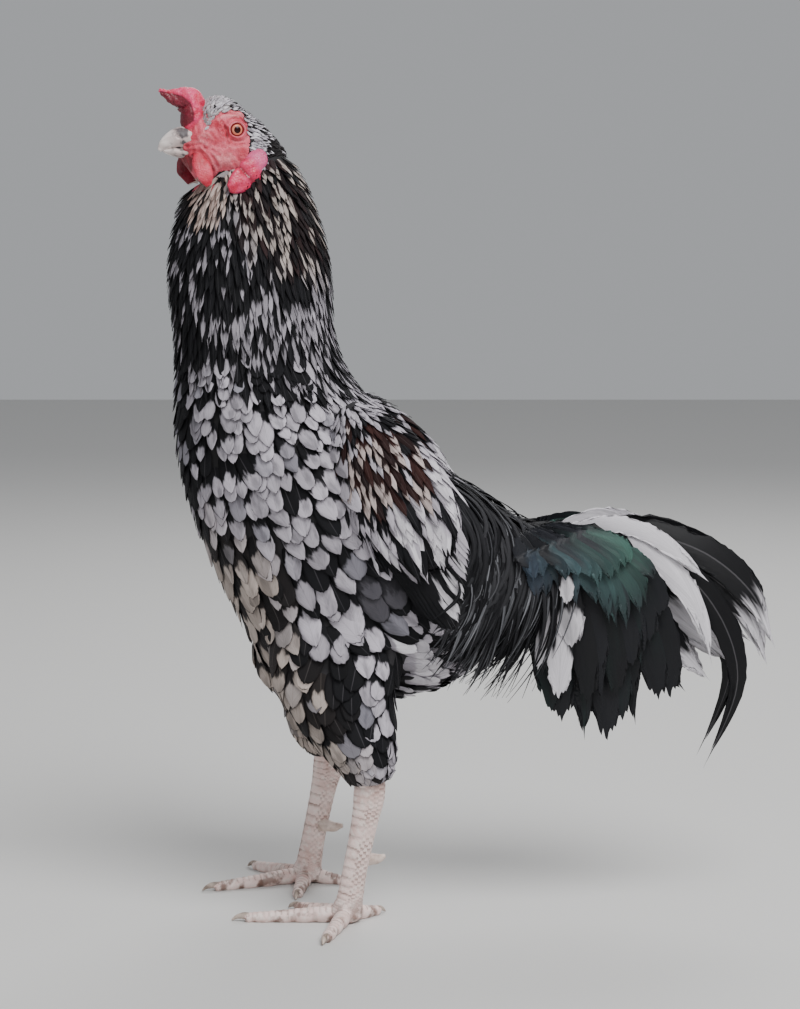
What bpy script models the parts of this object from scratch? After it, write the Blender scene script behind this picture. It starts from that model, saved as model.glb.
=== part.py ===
"""Aseel cock standing upright, life size, still. Metres, +Z up; the bird faces -X and its left side is -Y.

The places below are read in a design frame whose origin is the floor midway between the feet. The last
step slides the whole bird along the floor, so that the final origin is under the middle of its box.
"""

import math
import random

import bmesh
import bpy
from mathutils import Matrix, Vector
from mathutils.bvhtree import BVHTree

# Driving dimensions
GAP = 0.0003  # between pieces that touch
LEFT, RIGHT = -1, 1  # sign of Y on each side
SIDES = {"left": LEFT, "right": RIGHT}

# Trunk sections from the throat to the tail root: back x, z, then front or belly x, z, then half width
TRUNK = [
    (-0.0462, 0.6334, -0.127, 0.604, 0.026),
    (-0.0305, 0.606, -0.137, 0.586, 0.038),
    (-0.0150, 0.561, -0.145, 0.553, 0.048),
    (-0.010, 0.524, -0.146, 0.520, 0.054),
    (-0.008, 0.483, -0.142, 0.487, 0.060),
    (0.004, 0.450, -0.141, 0.454, 0.065),
    (0.024, 0.425, -0.142, 0.412, 0.071),
    (0.050, 0.402, -0.139, 0.378, 0.075),
    (0.075, 0.379, -0.129, 0.336, 0.077),
    (0.100, 0.359, -0.113, 0.294, 0.076),
    (0.121, 0.342, -0.090, 0.247, 0.073),
    (0.142, 0.331, -0.065, 0.202, 0.068),
    (0.156, 0.328, -0.015, 0.180, 0.061),
    (0.168, 0.327, 0.045, 0.178, 0.054),
    (0.180, 0.327, 0.088, 0.196, 0.045),
    (0.192, 0.326, 0.125, 0.232, 0.036),
    (0.206, 0.324, 0.160, 0.266, 0.026),
    (0.218, 0.318, 0.192, 0.286, 0.016),
]
TRUNK_RINGS, TRUNK_SIDES = 25, 16
OVAL = 2.15  # a little squarer than an ellipse
NECK_CUT_Z = 0.452  # level of the cut between neck and torso
RUMP_CUT_X = 0.085  # upright cut between torso and rump
TAIL_CUT_X = 0.150  # upright cut between rump and tail root
CORE_Z = 0.295  # height of the line inside the rump that its hackles are aimed from

# Head, before it turns: x, top z, bottom z, half width
HEAD = [
    (-0.0500, 0.636, 0.622, 0.0080),
    (-0.0570, 0.6455, 0.608, 0.0145),
    (-0.0680, 0.6565, 0.600, 0.0188),
    (-0.0820, 0.6675, 0.598, 0.0207),
    (-0.0960, 0.6770, 0.600, 0.0208),
    (-0.1090, 0.6780, 0.603, 0.0190),
    (-0.1200, 0.669, 0.608, 0.0158),
    (-0.1300, 0.658, 0.616, 0.0122),
    (-0.1380, 0.652, 0.627, 0.0085),
]
HEAD_RINGS, HEAD_SIDES = 14, 16
HEAD_TURN = math.radians(20)  # towards the left side
HEAD_PIVOT = Vector((-0.085, 0.0, 0.0))
THROAT_PLANE = (Vector((-0.127, 0.0, 0.604)), Vector((-0.050, 0.0, 0.632)))
EYE_AT = Vector((-0.0936, 0.0128, 0.6505))
EYE_RADIUS = 0.0080
LID_RADIUS, LID_TUBE, LID_OUT = 0.0066, 0.0017, 0.0186
EAR_AT = Vector((-0.0774, 0.0212, 0.6385))
EAR_RADIUS, EAR_RIM, EAR_TUBE = 0.0046, 0.0048, 0.0011
NOSTRIL_AT, NOSTRIL_SIZE = Vector((-0.1395, 0.0072, 0.6445)), (0.0026, 0.0016, 0.0012)
MOUTH_AT, MOUTH_SIZE = Vector((-0.1345, 0.0098, 0.6338)), (0.0060, 0.0040, 0.0006)

# Neck hackles, tier by tier: root row of TRUNK, steps along, count, half width, furthest angle from the back
HACKLES = [
    (0.40, 3, 7, 0.0052, 66),
    (1.20, 3, 10, 0.0070, 122),
    (2.00, 4, 11, 0.0082, 124),
    (2.80, 4, 12, 0.0092, 122),
    (3.60, 4, 12, 0.0104, 112),
]
HACKLE_STEP = 0.40  # rows of TRUNK in one step, the same in every tier so that tiers lie parallel
VANE_THICK = 0.0008
ROOT_DEPTH = 0.0028  # how far a root is sunk into what it grows from
HACKLE_LIFT = 0.0045  # how far its tip stands off

# Saddle hackles, row by row towards the tail: root x, sweep, angle of the first root from the back's ridge
SADDLE = [
    (0.094, 0.018, 6),
    (0.104, 0.016, 15),
    (0.114, 0.014, 8),
    (0.124, 0.012, 17),
    (0.135, 0.008, 10),
]
SADDLE_COUNT, SADDLE_STEPS = 3, 3
SADDLE_STEP = 22  # degrees round the body in one step, and between one hackle and the next
SADDLE_HALF = 0.0038
SADDLE_FREE = 100  # past this angle a hackle's end hangs free
SADDLE_HANG = (0.016, 0.95)  # length of the free end at the front, and its gain per metre towards the tail

# Wings: shoulder, then axes down the folded wing and across it towards the back
WING_FROM = Vector((-0.006, 0.0, 0.419))
WING_DOWN, WING_ACROSS = Vector((0.481, 0.0, -0.877)), Vector((0.877, 0.0, 0.481))
WING_CORE = [  # down, across, y out, half width, half thickness
    (-0.004, 0.012, 0.064, 0.010, 0.007),
    (0.022, 0.013, 0.067, 0.026, 0.013),
    (0.055, 0.014, 0.072, 0.038, 0.014),
    (0.090, 0.015, 0.076, 0.042, 0.012),
    (0.120, 0.013, 0.077, 0.034, 0.010),
    (0.146, 0.010, 0.076, 0.018, 0.005),
]
FLIGHTS = 9
FLIGHT_Y = (0.0785, 0.0715)  # of the lowest flight feather, at its root and tip
FLIGHT_ROOTS = ((0.088, -0.022), (0.052, 0.040))
FLIGHT_TIPS = [(0.187, -0.010), (0.199, 0.001), (0.180, 0.022), (0.158, 0.040), (0.120, 0.058)]
FLIGHT_HALF, FLIGHT_STEP = 0.0090, 0.00115
COVERTS = [  # down at root and tip, across of the first and last, count, half width
    (0.008, 0.046, -0.004, 0.028, 3, 0.0076),
    (0.034, 0.080, -0.013, 0.041, 4, 0.0086),
    (0.064, 0.118, -0.018, 0.046, 5, 0.0077),
]
COVERT_LIFT = 0.0036

# Tail, side view: stiff feathers, then long curved sickles, then long and short coverts, all in (x, z)
TAIL_ROOT = Vector((0.182, 0.0, 0.303))
RECTRICES, RECTRIX_HALF = 6, 0.0155
ROOT_DRAW = 0.7  # how far the sheets draw together where they enter the root
RECTRIX_TIPS = [(0.352, 0.268), (0.345, 0.232), (0.322, 0.202), (0.286, 0.184)]
SICKLES = [
    ([(0.182, 0.308), (0.240, 0.319), (0.297, 0.304), (0.340, 0.268), (0.3595, 0.222)], 0.0140),
    ([(0.184, 0.304), (0.250, 0.306), (0.305, 0.262), (0.3285, 0.195), (0.3008, 0.1212)], 0.0105),
    ([(0.180, 0.318), (0.218, 0.326), (0.260, 0.300), (0.293, 0.258), (0.3064, 0.209)], 0.0112),
]
TAIL_COVERTS = [  # roots of the first and last, tips of all, count, half width
    ((0.180, 0.316), (0.160, 0.292), [(0.272, 0.186), (0.240, 0.156), (0.205, 0.145), (0.172, 0.166)], 5, 0.0140),
    ((0.174, 0.318), (0.159, 0.304), [(0.244, 0.246), (0.218, 0.212), (0.176, 0.210)], 3, 0.0120),
]
SHEET_STEP = 0.0027  # between one tail feather's sheet and the next
TENT = 0.10  # how much the lower edge of a tail feather stands out

# Legs: hock, foot joint and outward yaw of the three front toes, hind toe last, in degrees from -X
LEGS = {
    "left": {"hock": (0.0215, 0.118), "ankle": (0.0050, 0.020), "toes": (-38, 0, 76, 140)},
    "right": {"hock": (-0.0160, 0.114), "ankle": (-0.0330, 0.020), "toes": (-84, -21, 42, 165)},
}
STANCE = 0.0625  # half the distance between the shanks
SHANK_DEPTH, SHANK_WIDTH = 0.0230, 0.0165
TOE_LENGTHS = (0.050, 0.080, 0.060, 0.030)  # inner, middle, outer, hind
TOE_BASE, TOE_END = 0.0068, 0.0043  # radii
CLAW_LENGTHS = (0.013, 0.015, 0.013, 0.012)
SOLE = 0.0011  # how much of a toe's round underside is flat on the floor

COLOURS = {
    "feather": ((0.045, 0.043, 0.045), 0.55),
    "speckle": ((0.45, 0.43, 0.42), 0.6),
    "face_skin": ((0.60, 0.09, 0.09), 0.5),
    "horn": ((0.72, 0.66, 0.56), 0.4),
    "leg_scale": ((0.68, 0.56, 0.47), 0.55),
    "iris": ((0.70, 0.30, 0.10), 0.1),
}


def clear_scene():
    for old in list(bpy.data.objects):
        bpy.data.objects.remove(old, do_unlink=True)


def new_collection(name):
    made = bpy.data.collections.new(name)
    bpy.context.scene.collection.children.link(made)
    return made


def material(name):
    """A Principled material for one finish, made once."""
    if name in bpy.data.materials:
        return bpy.data.materials[name]
    colour, roughness = COLOURS[name]
    made = bpy.data.materials.new(name)
    made.use_nodes = True
    shader = made.node_tree.nodes["Principled BSDF"]
    shader.inputs["Base Color"].default_value = (*colour, 1.0)
    shader.inputs["Roughness"].default_value = roughness
    return made


def add_object(name, bm, finish, collection):
    """Closes a bmesh into a named, smooth-shaded object."""
    bmesh.ops.recalc_face_normals(bm, faces=bm.faces)
    mesh = bpy.data.meshes.new(name)
    bm.to_mesh(mesh)
    bm.free()
    mesh.shade_smooth()
    mesh.materials.append(material(finish))
    made = bpy.data.objects.new(name, mesh)
    collection.objects.link(made)
    return made


def between(rows, t):
    """Catmull-Rom reading of a table of numbers, with t from 0 at its first row to 1 at its last."""
    place = min(max(t, 0.0), 1.0) * (len(rows) - 1)
    i = min(int(place), len(rows) - 2)
    f = place - i
    a, b, c, d = (rows[min(max(k, 0), len(rows) - 1)] for k in (i - 1, i, i + 1, i + 2))
    return [
        q + 0.5 * f * (r - p + f * (2 * p - 5 * q + 4 * r - s + f * (3 * (q - r) + s - p)))
        for p, q, r, s in zip(a, b, c, d)
    ]


def tube(rings, sides, place):
    """A closed tube: a capped cylinder cut into rings, each point then set by place(t, angle).

    The middle of each cap is set by place(t, None).
    """
    bm = bmesh.new()
    bmesh.ops.create_cone(
        bm, cap_ends=True, cap_tris=True, segments=sides, radius1=1, radius2=1, depth=1
    )
    upright = [e for e in bm.edges if abs(e.verts[0].co.z - e.verts[1].co.z) > 0.5]
    bmesh.ops.subdivide_edges(bm, edges=upright, cuts=rings - 2)
    for v in bm.verts:
        angle = None if v.co.xy.length < 0.5 else math.atan2(v.co.y, v.co.x)
        v.co = place(v.co.z + 0.5, angle)
    bmesh.ops.triangulate(bm, faces=bm.faces)
    return bm


def rounded(value, power):
    """A cosine or sine for a squarer or slimmer oval."""
    return math.copysign(abs(value) ** (2 / power), value)


def trunk_place(t, angle):
    """A point of the trunk: angle 0 is the back, half a turn the breast and belly."""
    back_x, back_z, front_x, front_z, half_width = between(TRUNK, t)
    middle = Vector(((back_x + front_x) / 2, 0, (back_z + front_z) / 2))
    if angle is None:
        return middle
    reach = Vector(((back_x - front_x) / 2, 0, (back_z - front_z) / 2))
    side = Vector((0, half_width, 0))
    return middle + reach * rounded(math.cos(angle), OVAL) + side * rounded(math.sin(angle), OVAL)


def head_turned(point):
    turn = Matrix.Rotation(HEAD_TURN, 3, "Z")
    return turn @ (point - HEAD_PIVOT) + HEAD_PIVOT


def head_place(t, angle):
    x, top, bottom, half_width = between(HEAD, t)
    if angle is None:
        return head_turned(Vector((x, 0, (top + bottom) / 2)))
    up = (top + bottom) / 2 + (top - bottom) / 2 * rounded(math.cos(angle), 2.2)
    return head_turned(Vector((x, half_width * rounded(math.sin(angle), 2.2), up)))


def path_place(path, t, angle):
    """A point of a round-sectioned piece. path rows: x, y, z, half size in its bend, half size across."""
    x, y, z, half_bend, half_across = between(path, t)
    here = Vector((x, y, z))
    if angle is None:
        return here
    step = 0.02
    ahead = Vector(between(path, min(t + step, 1))[:3]) - Vector(between(path, max(t - step, 0))[:3])
    ahead.normalize()
    across = ahead.cross(Vector((0, 1, 0))).cross(ahead)
    if across.length < 1e-6:
        across = Vector((1, 0, 0))
    across.normalize()
    bend = across.cross(ahead).normalized()
    return here + bend * half_bend * math.cos(angle) + across * half_across * math.sin(angle)


def piece(name, path, rings, sides, finish, collection):
    """A lobe, limb or claw along a path of round sections."""
    return add_object(
        name, tube(rings, sides, lambda t, a: path_place(path, t, a)), finish, collection
    )


def keep_side(obj, point, normal):
    """Cuts an object by a plane, keeps the side that the normal points away from and closes the cut."""
    bm = bmesh.new()
    bm.from_mesh(obj.data)
    bmesh.ops.bisect_plane(
        bm,
        geom=bm.verts[:] + bm.edges[:] + bm.faces[:],
        plane_co=point,
        plane_no=normal,
        clear_outer=True,
    )
    bmesh.ops.holes_fill(bm, edges=[e for e in bm.edges if e.is_boundary], sides=0)
    bmesh.ops.triangulate(bm, faces=bm.faces)
    bmesh.ops.recalc_face_normals(bm, faces=bm.faces)
    bm.to_mesh(obj.data)
    bm.free()


def grown(obj, by, collection):
    """A copy of an object swollen along its normals, to cut its neighbours clear of it."""
    copy = obj.copy()
    copy.data = obj.data.copy()
    copy.name = obj.name + "_cutter"
    collection.objects.link(copy)
    bm = bmesh.new()
    bm.from_mesh(copy.data)
    bm.normal_update()
    moved = {v: v.co + v.normal * by for v in bm.verts}
    for v, co in moved.items():
        v.co = co
    bm.to_mesh(copy.data)
    bm.free()
    copy.hide_render = True
    copy.display_type = "WIRE"
    return copy


def settle(obj):
    """Applies an object's modifiers and keeps its largest closed surface."""
    graph = bpy.context.evaluated_depsgraph_get()
    mesh = bpy.data.meshes.new_from_object(obj.evaluated_get(graph))
    obj.modifiers.clear()
    bm = bmesh.new()
    bm.from_mesh(mesh)
    seen, largest = set(), []
    for start in bm.verts:
        if start in seen:
            continue
        seen.add(start)
        island, queue = [], [start]
        while queue:
            v = queue.pop()
            island.append(v)
            for e in v.link_edges:
                other = e.other_vert(v)
                if other not in seen:
                    seen.add(other)
                    queue.append(other)
        largest = max(largest, island, key=len)
    kept = set(largest)
    bmesh.ops.delete(bm, geom=[v for v in bm.verts if v not in kept], context="VERTS")
    bmesh.ops.triangulate(bm, faces=bm.faces)
    bm.to_mesh(mesh)
    bm.free()
    obj.data = mesh
    mesh.shade_smooth()


def cut_clear(obj, others, cutters, by=GAP, solver="EXACT"):
    """Cuts an object clear of its neighbours."""
    for other in others:
        cutter = grown(other, by, cutters)
        cut = obj.modifiers.new("clear", "BOOLEAN")
        cut.operation = "DIFFERENCE"
        cut.solver = solver
        cut.object = cutter
        settle(obj)


def join_pieces(obj, pieces, cutters, solver="MANIFOLD"):
    """Fuses pieces into an object by one union on a collection, then removes them."""
    group = bpy.data.collections.new(obj.name + "_pieces")
    cutters.children.link(group)
    for p in pieces:
        for owner in list(p.users_collection):
            owner.objects.unlink(p)
        group.objects.link(p)
    fuse = obj.modifiers.new("fuse", "BOOLEAN")
    fuse.operation = "UNION"
    fuse.operand_type = "COLLECTION"
    fuse.solver = solver
    fuse.collection = group
    settle(obj)
    for p in list(group.objects):
        bpy.data.objects.remove(p, do_unlink=True)
    bpy.data.collections.remove(group)


def make_trunk(bird):
    """Neck, torso, rump and tail root, one loft parted by three thin cuts."""
    bm = tube(TRUNK_RINGS, TRUNK_SIDES, trunk_place)
    neck = add_object("neck", bm, "feather", bird)
    nodes = {"neck": neck}
    for name in ("torso", "rump", "tail"):
        nodes[name] = neck.copy()
        nodes[name].data = neck.data.copy()
        nodes[name].name = name
        bird.objects.link(nodes[name])
    half = GAP / 2
    down, back, fore = Vector((0, 0, -1)), Vector((1, 0, 0)), Vector((-1, 0, 0))
    keep_side(neck, Vector((0, 0, NECK_CUT_Z + half)), down)
    keep_side(nodes["torso"], Vector((0, 0, NECK_CUT_Z - half)), -down)
    keep_side(nodes["torso"], Vector((RUMP_CUT_X - half, 0, 0)), back)
    keep_side(nodes["rump"], Vector((RUMP_CUT_X + half, 0, 0)), fore)
    keep_side(nodes["rump"], Vector((TAIL_CUT_X - half, 0, 0)), back)
    keep_side(nodes["tail"], Vector((TAIL_CUT_X + half, 0, 0)), fore)
    return nodes


def make_head(bird, cutters, neck):
    """Skull and face, with lids round the sockets, cut flat where it sits on the neck."""
    head = add_object("head", tube(HEAD_RINGS, HEAD_SIDES, head_place), "face_skin", bird)
    throat, nape = THROAT_PLANE
    slope = (nape - throat).normalized()
    down = slope.cross(Vector((0, 1, 0))).normalized()
    if down.z > 0:
        down = -down
    keep_side(head, throat - down * GAP, down)
    rings, eyes, hollows = [], {}, []
    for side, sign in SIDES.items():
        out = head_turned(HEAD_PIVOT + Vector((0, sign, 0))) - HEAD_PIVOT
        face = out.to_track_quat("Z", "Y")
        eye_at = head_turned(Vector((EYE_AT.x, sign * EYE_AT.y, EYE_AT.z)))
        ear_at = head_turned(Vector((EAR_AT.x, sign * EAR_AT.y, EAR_AT.z)))
        rings.append(ring(eye_at + out * (LID_OUT - EYE_AT.y), face, LID_RADIUS, LID_TUBE, 12))
        rings.append(ring(ear_at - out * EAR_TUBE, face, EAR_RIM, EAR_TUBE, 8))
        eyes[side] = ball("eye_" + side, eye_at, (EYE_RADIUS,) * 3, "iris", bird, sides=12)
        hollows.append(ball("ear_cup", ear_at + out * 0.0014, (EAR_RADIUS,) * 3, "iris", cutters, sides=8))
        mouth = head_turned(Vector((MOUTH_AT.x, sign * MOUTH_AT.y, MOUTH_AT.z)))
        hollows.append(ball("mouth_cut", mouth, MOUTH_SIZE, "iris", cutters, sides=8))
    join_pieces(head, rings, cutters)
    cut_clear(head, [*eyes.values(), *hollows], cutters)
    return head, eyes


def ring(at, face, radius, tube_radius, sides):
    """A small torus lying on the skin, for a lid or the rim of an ear."""
    bpy.ops.mesh.primitive_torus_add(
        major_radius=radius,
        minor_radius=tube_radius,
        major_segments=sides,
        minor_segments=4,
        location=at,
        rotation=face.to_euler(),
    )
    return bpy.context.object


def ball(name, at, sizes, finish, collection, sides=10):
    """An eyeball or a rounded cutter, turned with the head."""
    bm = bmesh.new()
    bmesh.ops.create_uvsphere(bm, u_segments=sides, v_segments=sides * 2 // 3, radius=1)
    bmesh.ops.scale(bm, vec=sizes, verts=bm.verts)
    bmesh.ops.rotate(bm, matrix=Matrix.Rotation(HEAD_TURN, 3, "Z"), verts=bm.verts)
    bmesh.ops.translate(bm, vec=at, verts=bm.verts)
    bmesh.ops.triangulate(bm, faces=bm.faces)
    return add_object(name, bm, finish, collection)


def make_face_parts(bird, cutters, head, neck):
    """Beak, comb, wattles and ear lobes, each cut clear of the head that carries it."""
    def turned(rows):
        return [(*head_turned(Vector(r[:3])), *r[3:]) for r in rows]

    upper = piece(
        "beak_upper",
        turned([
            (-0.1290, 0, 0.6436, 0.0090, 0.0088),
            (-0.1380, 0, 0.6434, 0.0084, 0.0078),
            (-0.1445, 0, 0.6416, 0.0068, 0.0060),
            (-0.1500, 0, 0.6382, 0.0047, 0.0038),
            (-0.1540, 0, 0.6343, 0.0019, 0.0015),
        ]),
        7, 10, "horn", bird,
    )
    lower = piece(
        "beak_lower",
        turned([
            (-0.1290, 0, 0.6318, 0.0048, 0.0080),
            (-0.1370, 0, 0.6322, 0.0042, 0.0066),
            (-0.1440, 0, 0.6328, 0.0032, 0.0046),
            (-0.1510, 0, 0.6336, 0.0013, 0.0017),
        ]),
        5, 10, "horn", bird,
    )
    nostrils = []
    for sign in SIDES.values():
        at = head_turned(Vector((NOSTRIL_AT.x, sign * NOSTRIL_AT.y, NOSTRIL_AT.z)))
        nostrils.append(ball("nostril_cut", at, NOSTRIL_SIZE, "horn", cutters, sides=6))
    cut_clear(upper, nostrils, cutters, by=0)
    cut_clear(lower, [upper], cutters)
    comb = piece(
        "comb",
        turned([
            (-0.1275, 0, 0.6540, 0.0110, 0.0078),
            (-0.1262, 0, 0.6640, 0.0112, 0.0086),
            (-0.1285, 0.0005, 0.6735, 0.0100, 0.0074),
            (-0.1400, 0.0015, 0.6765, 0.0068, 0.0046),
            (-0.1535, 0.0030, 0.6810, 0.0016, 0.0012),
        ]),
        10, 10, "face_skin", bird,
    )
    made = {"beak_upper": upper, "beak_lower": lower, "comb": comb}
    for side, sign in SIDES.items():
        made["wattle_" + side] = piece(
            "wattle_" + side,
            turned([
                (-0.1235, sign * 0.0120, 0.6320, 0.0060, 0.0038),
                (-0.1247, sign * 0.0180, 0.6230, 0.0080, 0.0034),
                (-0.1240, sign * 0.0210, 0.6140, 0.0078, 0.0032),
                (-0.1215, sign * 0.0215, 0.6055, 0.0030, 0.0016),
            ]),
            7, 8, "face_skin", bird,
        )
        made["earlobe_" + side] = piece(
            "earlobe_" + side,
            turned([
                (-0.0745, sign * 0.0185, 0.6320, 0.0058, 0.0038),
                (-0.0800, sign * 0.0262, 0.6220, 0.0088, 0.0048),
                (-0.0890, sign * 0.0310, 0.6120, 0.0096, 0.0048),
                (-0.1015, sign * 0.0325, 0.6040, 0.0046, 0.0026),
            ]),
            7, 8, "face_skin", bird,
        )
    for made_piece in made.values():
        cut_clear(made_piece, [head, neck], cutters, solver="MANIFOLD")
    return made


def vane(shaft, outward, half_widths, thickness=VANE_THICK):
    """One flat tapered feather: a strip laid along its shaft, then given its thickness."""
    bm = bmesh.new()
    rows = len(shaft) - 1
    bmesh.ops.create_grid(bm, x_segments=1, y_segments=rows, size=1)
    for v in bm.verts:
        k = round((v.co.y + 1) / 2 * rows)
        ahead = shaft[min(k + 1, rows)] - shaft[max(k - 1, 0)]
        across = ahead.cross(outward[k]).normalized()
        v.co = shaft[k] + across * half_widths[k] * v.co.x
    bmesh.ops.triangulate(bm, faces=bm.faces)
    bmesh.ops.solidify(bm, geom=bm.faces[:], thickness=thickness)
    return add_object("vane", bm, "feather", bpy.context.scene.collection)


def tapered(half_width, rows, tip=0.22):
    """Half widths along a feather: narrow at the root, full in the middle, drawn in at the tip."""
    widths = []
    for k in range(rows + 1):
        share = k / rows
        width = min(0.62 + 0.9 * share, 1.0) if share < 0.75 else 1.0 - (1.0 - tip) * (share - 0.75) / 0.25
        widths.append(half_width * width)
    return widths


def surface_frame(tree, origin, direction):
    """Where a ray from inside a body leaves it, and the outward normal; off the body, the ray's own start."""
    hit, normal, _, _ = tree.ray_cast(origin, direction)
    if hit is None:
        return origin.copy(), direction.copy()
    if normal.dot(direction) < 0:
        normal = -normal
    return hit, normal


def make_hackles(neck, cutters):
    """Neck hackles: tiers of flat locks that lie down the neck, each tier over the roots of the next."""
    rng = random.Random(3)
    rows = len(TRUNK) - 1
    strips = []
    for tier, (root, steps, count, half_width, furthest) in enumerate(HACKLES):
        for i in range(count):
            share = (i + 0.5 * (tier % 2) - (count - 1) / 2) / (count / 2)
            angle = math.radians(furthest * share)
            if abs(share) > 1.02:
                continue
            shaft, outward = [], []
            for k in range(steps + 1):
                v = k / steps
                spread = rng.uniform(-0.12, 0.12) if k == steps else 0
                t = (root + HACKLE_STEP * k + spread) / rows
                here = trunk_place(t, angle)
                down = trunk_place(t + 0.01, angle) - trunk_place(t - 0.01, angle)
                side = trunk_place(t, angle + 0.05) - trunk_place(t, angle - 0.05)
                normal = down.cross(side).normalized()
                if normal.dot(here - trunk_place(t, None)) < 0:
                    normal = -normal
                lift = -ROOT_DEPTH + (ROOT_DEPTH + HACKLE_LIFT) * v ** 0.8
                shaft.append(here + normal * lift)
                outward.append(normal)
            strips.append(vane(shaft, outward, tapered(half_width, steps)))
    join_pieces(neck, strips, cutters)


def make_saddle(rump, tree, cutters):
    """Saddle hackles: long narrow locks that fall from the back over the rump's sides."""
    rng = random.Random(5)
    strips = []
    for sign in SIDES.values():
        for root_x, sweep, first in SADDLE:
            for i in range(SADDLE_COUNT):
                shaft, outward = [], []
                for k in range(SADDLE_STEPS + 1):
                    v = k / SADDLE_STEPS
                    stop = first + SADDLE_STEP * (i + k)
                    aim = Vector((0, sign * math.sin(math.radians(stop)), math.cos(math.radians(stop))))
                    here, normal = surface_frame(tree, Vector((root_x + sweep * v, 0, CORE_Z)), aim)
                    lift = -ROOT_DEPTH + (ROOT_DEPTH + HACKLE_LIFT) * v ** 0.7
                    shaft.append(here + normal * lift)
                    outward.append(normal)
                if stop > SADDLE_FREE:
                    hang = SADDLE_HANG[0] + SADDLE_HANG[1] * (root_x - SADDLE[0][0]) + rng.uniform(-0.005, 0.005)
                    shaft.append(shaft[-1] + Vector((0.002, -sign * 0.001, -hang)))
                    outward.append(Vector((0, sign, 0)))
                strips.append(vane(shaft, outward, tapered(SADDLE_HALF, len(shaft) - 1)))
    join_pieces(rump, strips, cutters)


def wing_point(down, across, y):
    return WING_FROM + WING_DOWN * down + WING_ACROSS * across + Vector((0, y, 0))


def make_wings(bird, cutters, body):
    """Folded wings: a flat core against the trunk, flight feathers in a fan, coverts in tiers over them."""
    wings = {}
    for side, sign in SIDES.items():
        rng = random.Random(11)
        rows = [(*wing_point(down, across, sign * y), half, thick) for down, across, y, half, thick in WING_CORE]
        wing = piece("wing_" + side, rows, 8, 10, "feather", bird)
        tree = BVHTree.FromObject(wing, bpy.context.evaluated_depsgraph_get())
        strips = []
        out = Vector((0, sign, 0))
        for i in range(FLIGHTS):
            share = i / (FLIGHTS - 1)
            root = [a + (b - a) * share for a, b in zip(*FLIGHT_ROOTS)]
            tip = between(FLIGHT_TIPS, share)
            shaft = []
            steps = 4
            for k in range(steps + 1):
                v = k / steps
                down, across = (a + (b - a) * v for a, b in zip(root, tip))
                y = FLIGHT_Y[0] + (FLIGHT_Y[1] - FLIGHT_Y[0]) * v + FLIGHT_STEP * i
                shaft.append(wing_point(down, across + 0.004 * math.sin(math.pi * v), sign * y))
            strips.append(vane(shaft, [out] * (steps + 1), tapered(FLIGHT_HALF, steps, 0.35)))
        for root_down, tip_down, first, last, count, half in COVERTS:
            for i in range(count):
                across = first + (last - first) * i / (count - 1)
                shaft, outward = [], []
                steps = 3
                for k in range(steps + 1):
                    v = k / steps
                    down = root_down + (tip_down - root_down + rng.uniform(-0.001, 0.001)) * v
                    spread = across * (1 + 0.12 * v)
                    here, normal = surface_frame(tree, wing_point(down, spread, sign * FLIGHT_Y[1]), out)
                    lift = -ROOT_DEPTH + (ROOT_DEPTH + COVERT_LIFT) * v ** 0.8
                    shaft.append(here + out * lift)
                    outward.append(normal)
                strips.append(vane(shaft, outward, tapered(half, steps, 0.4)))
        join_pieces(wing, strips, cutters)
        cut_clear(wing, body, cutters, solver="MANIFOLD")
        wings[side] = wing
    return wings


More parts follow.
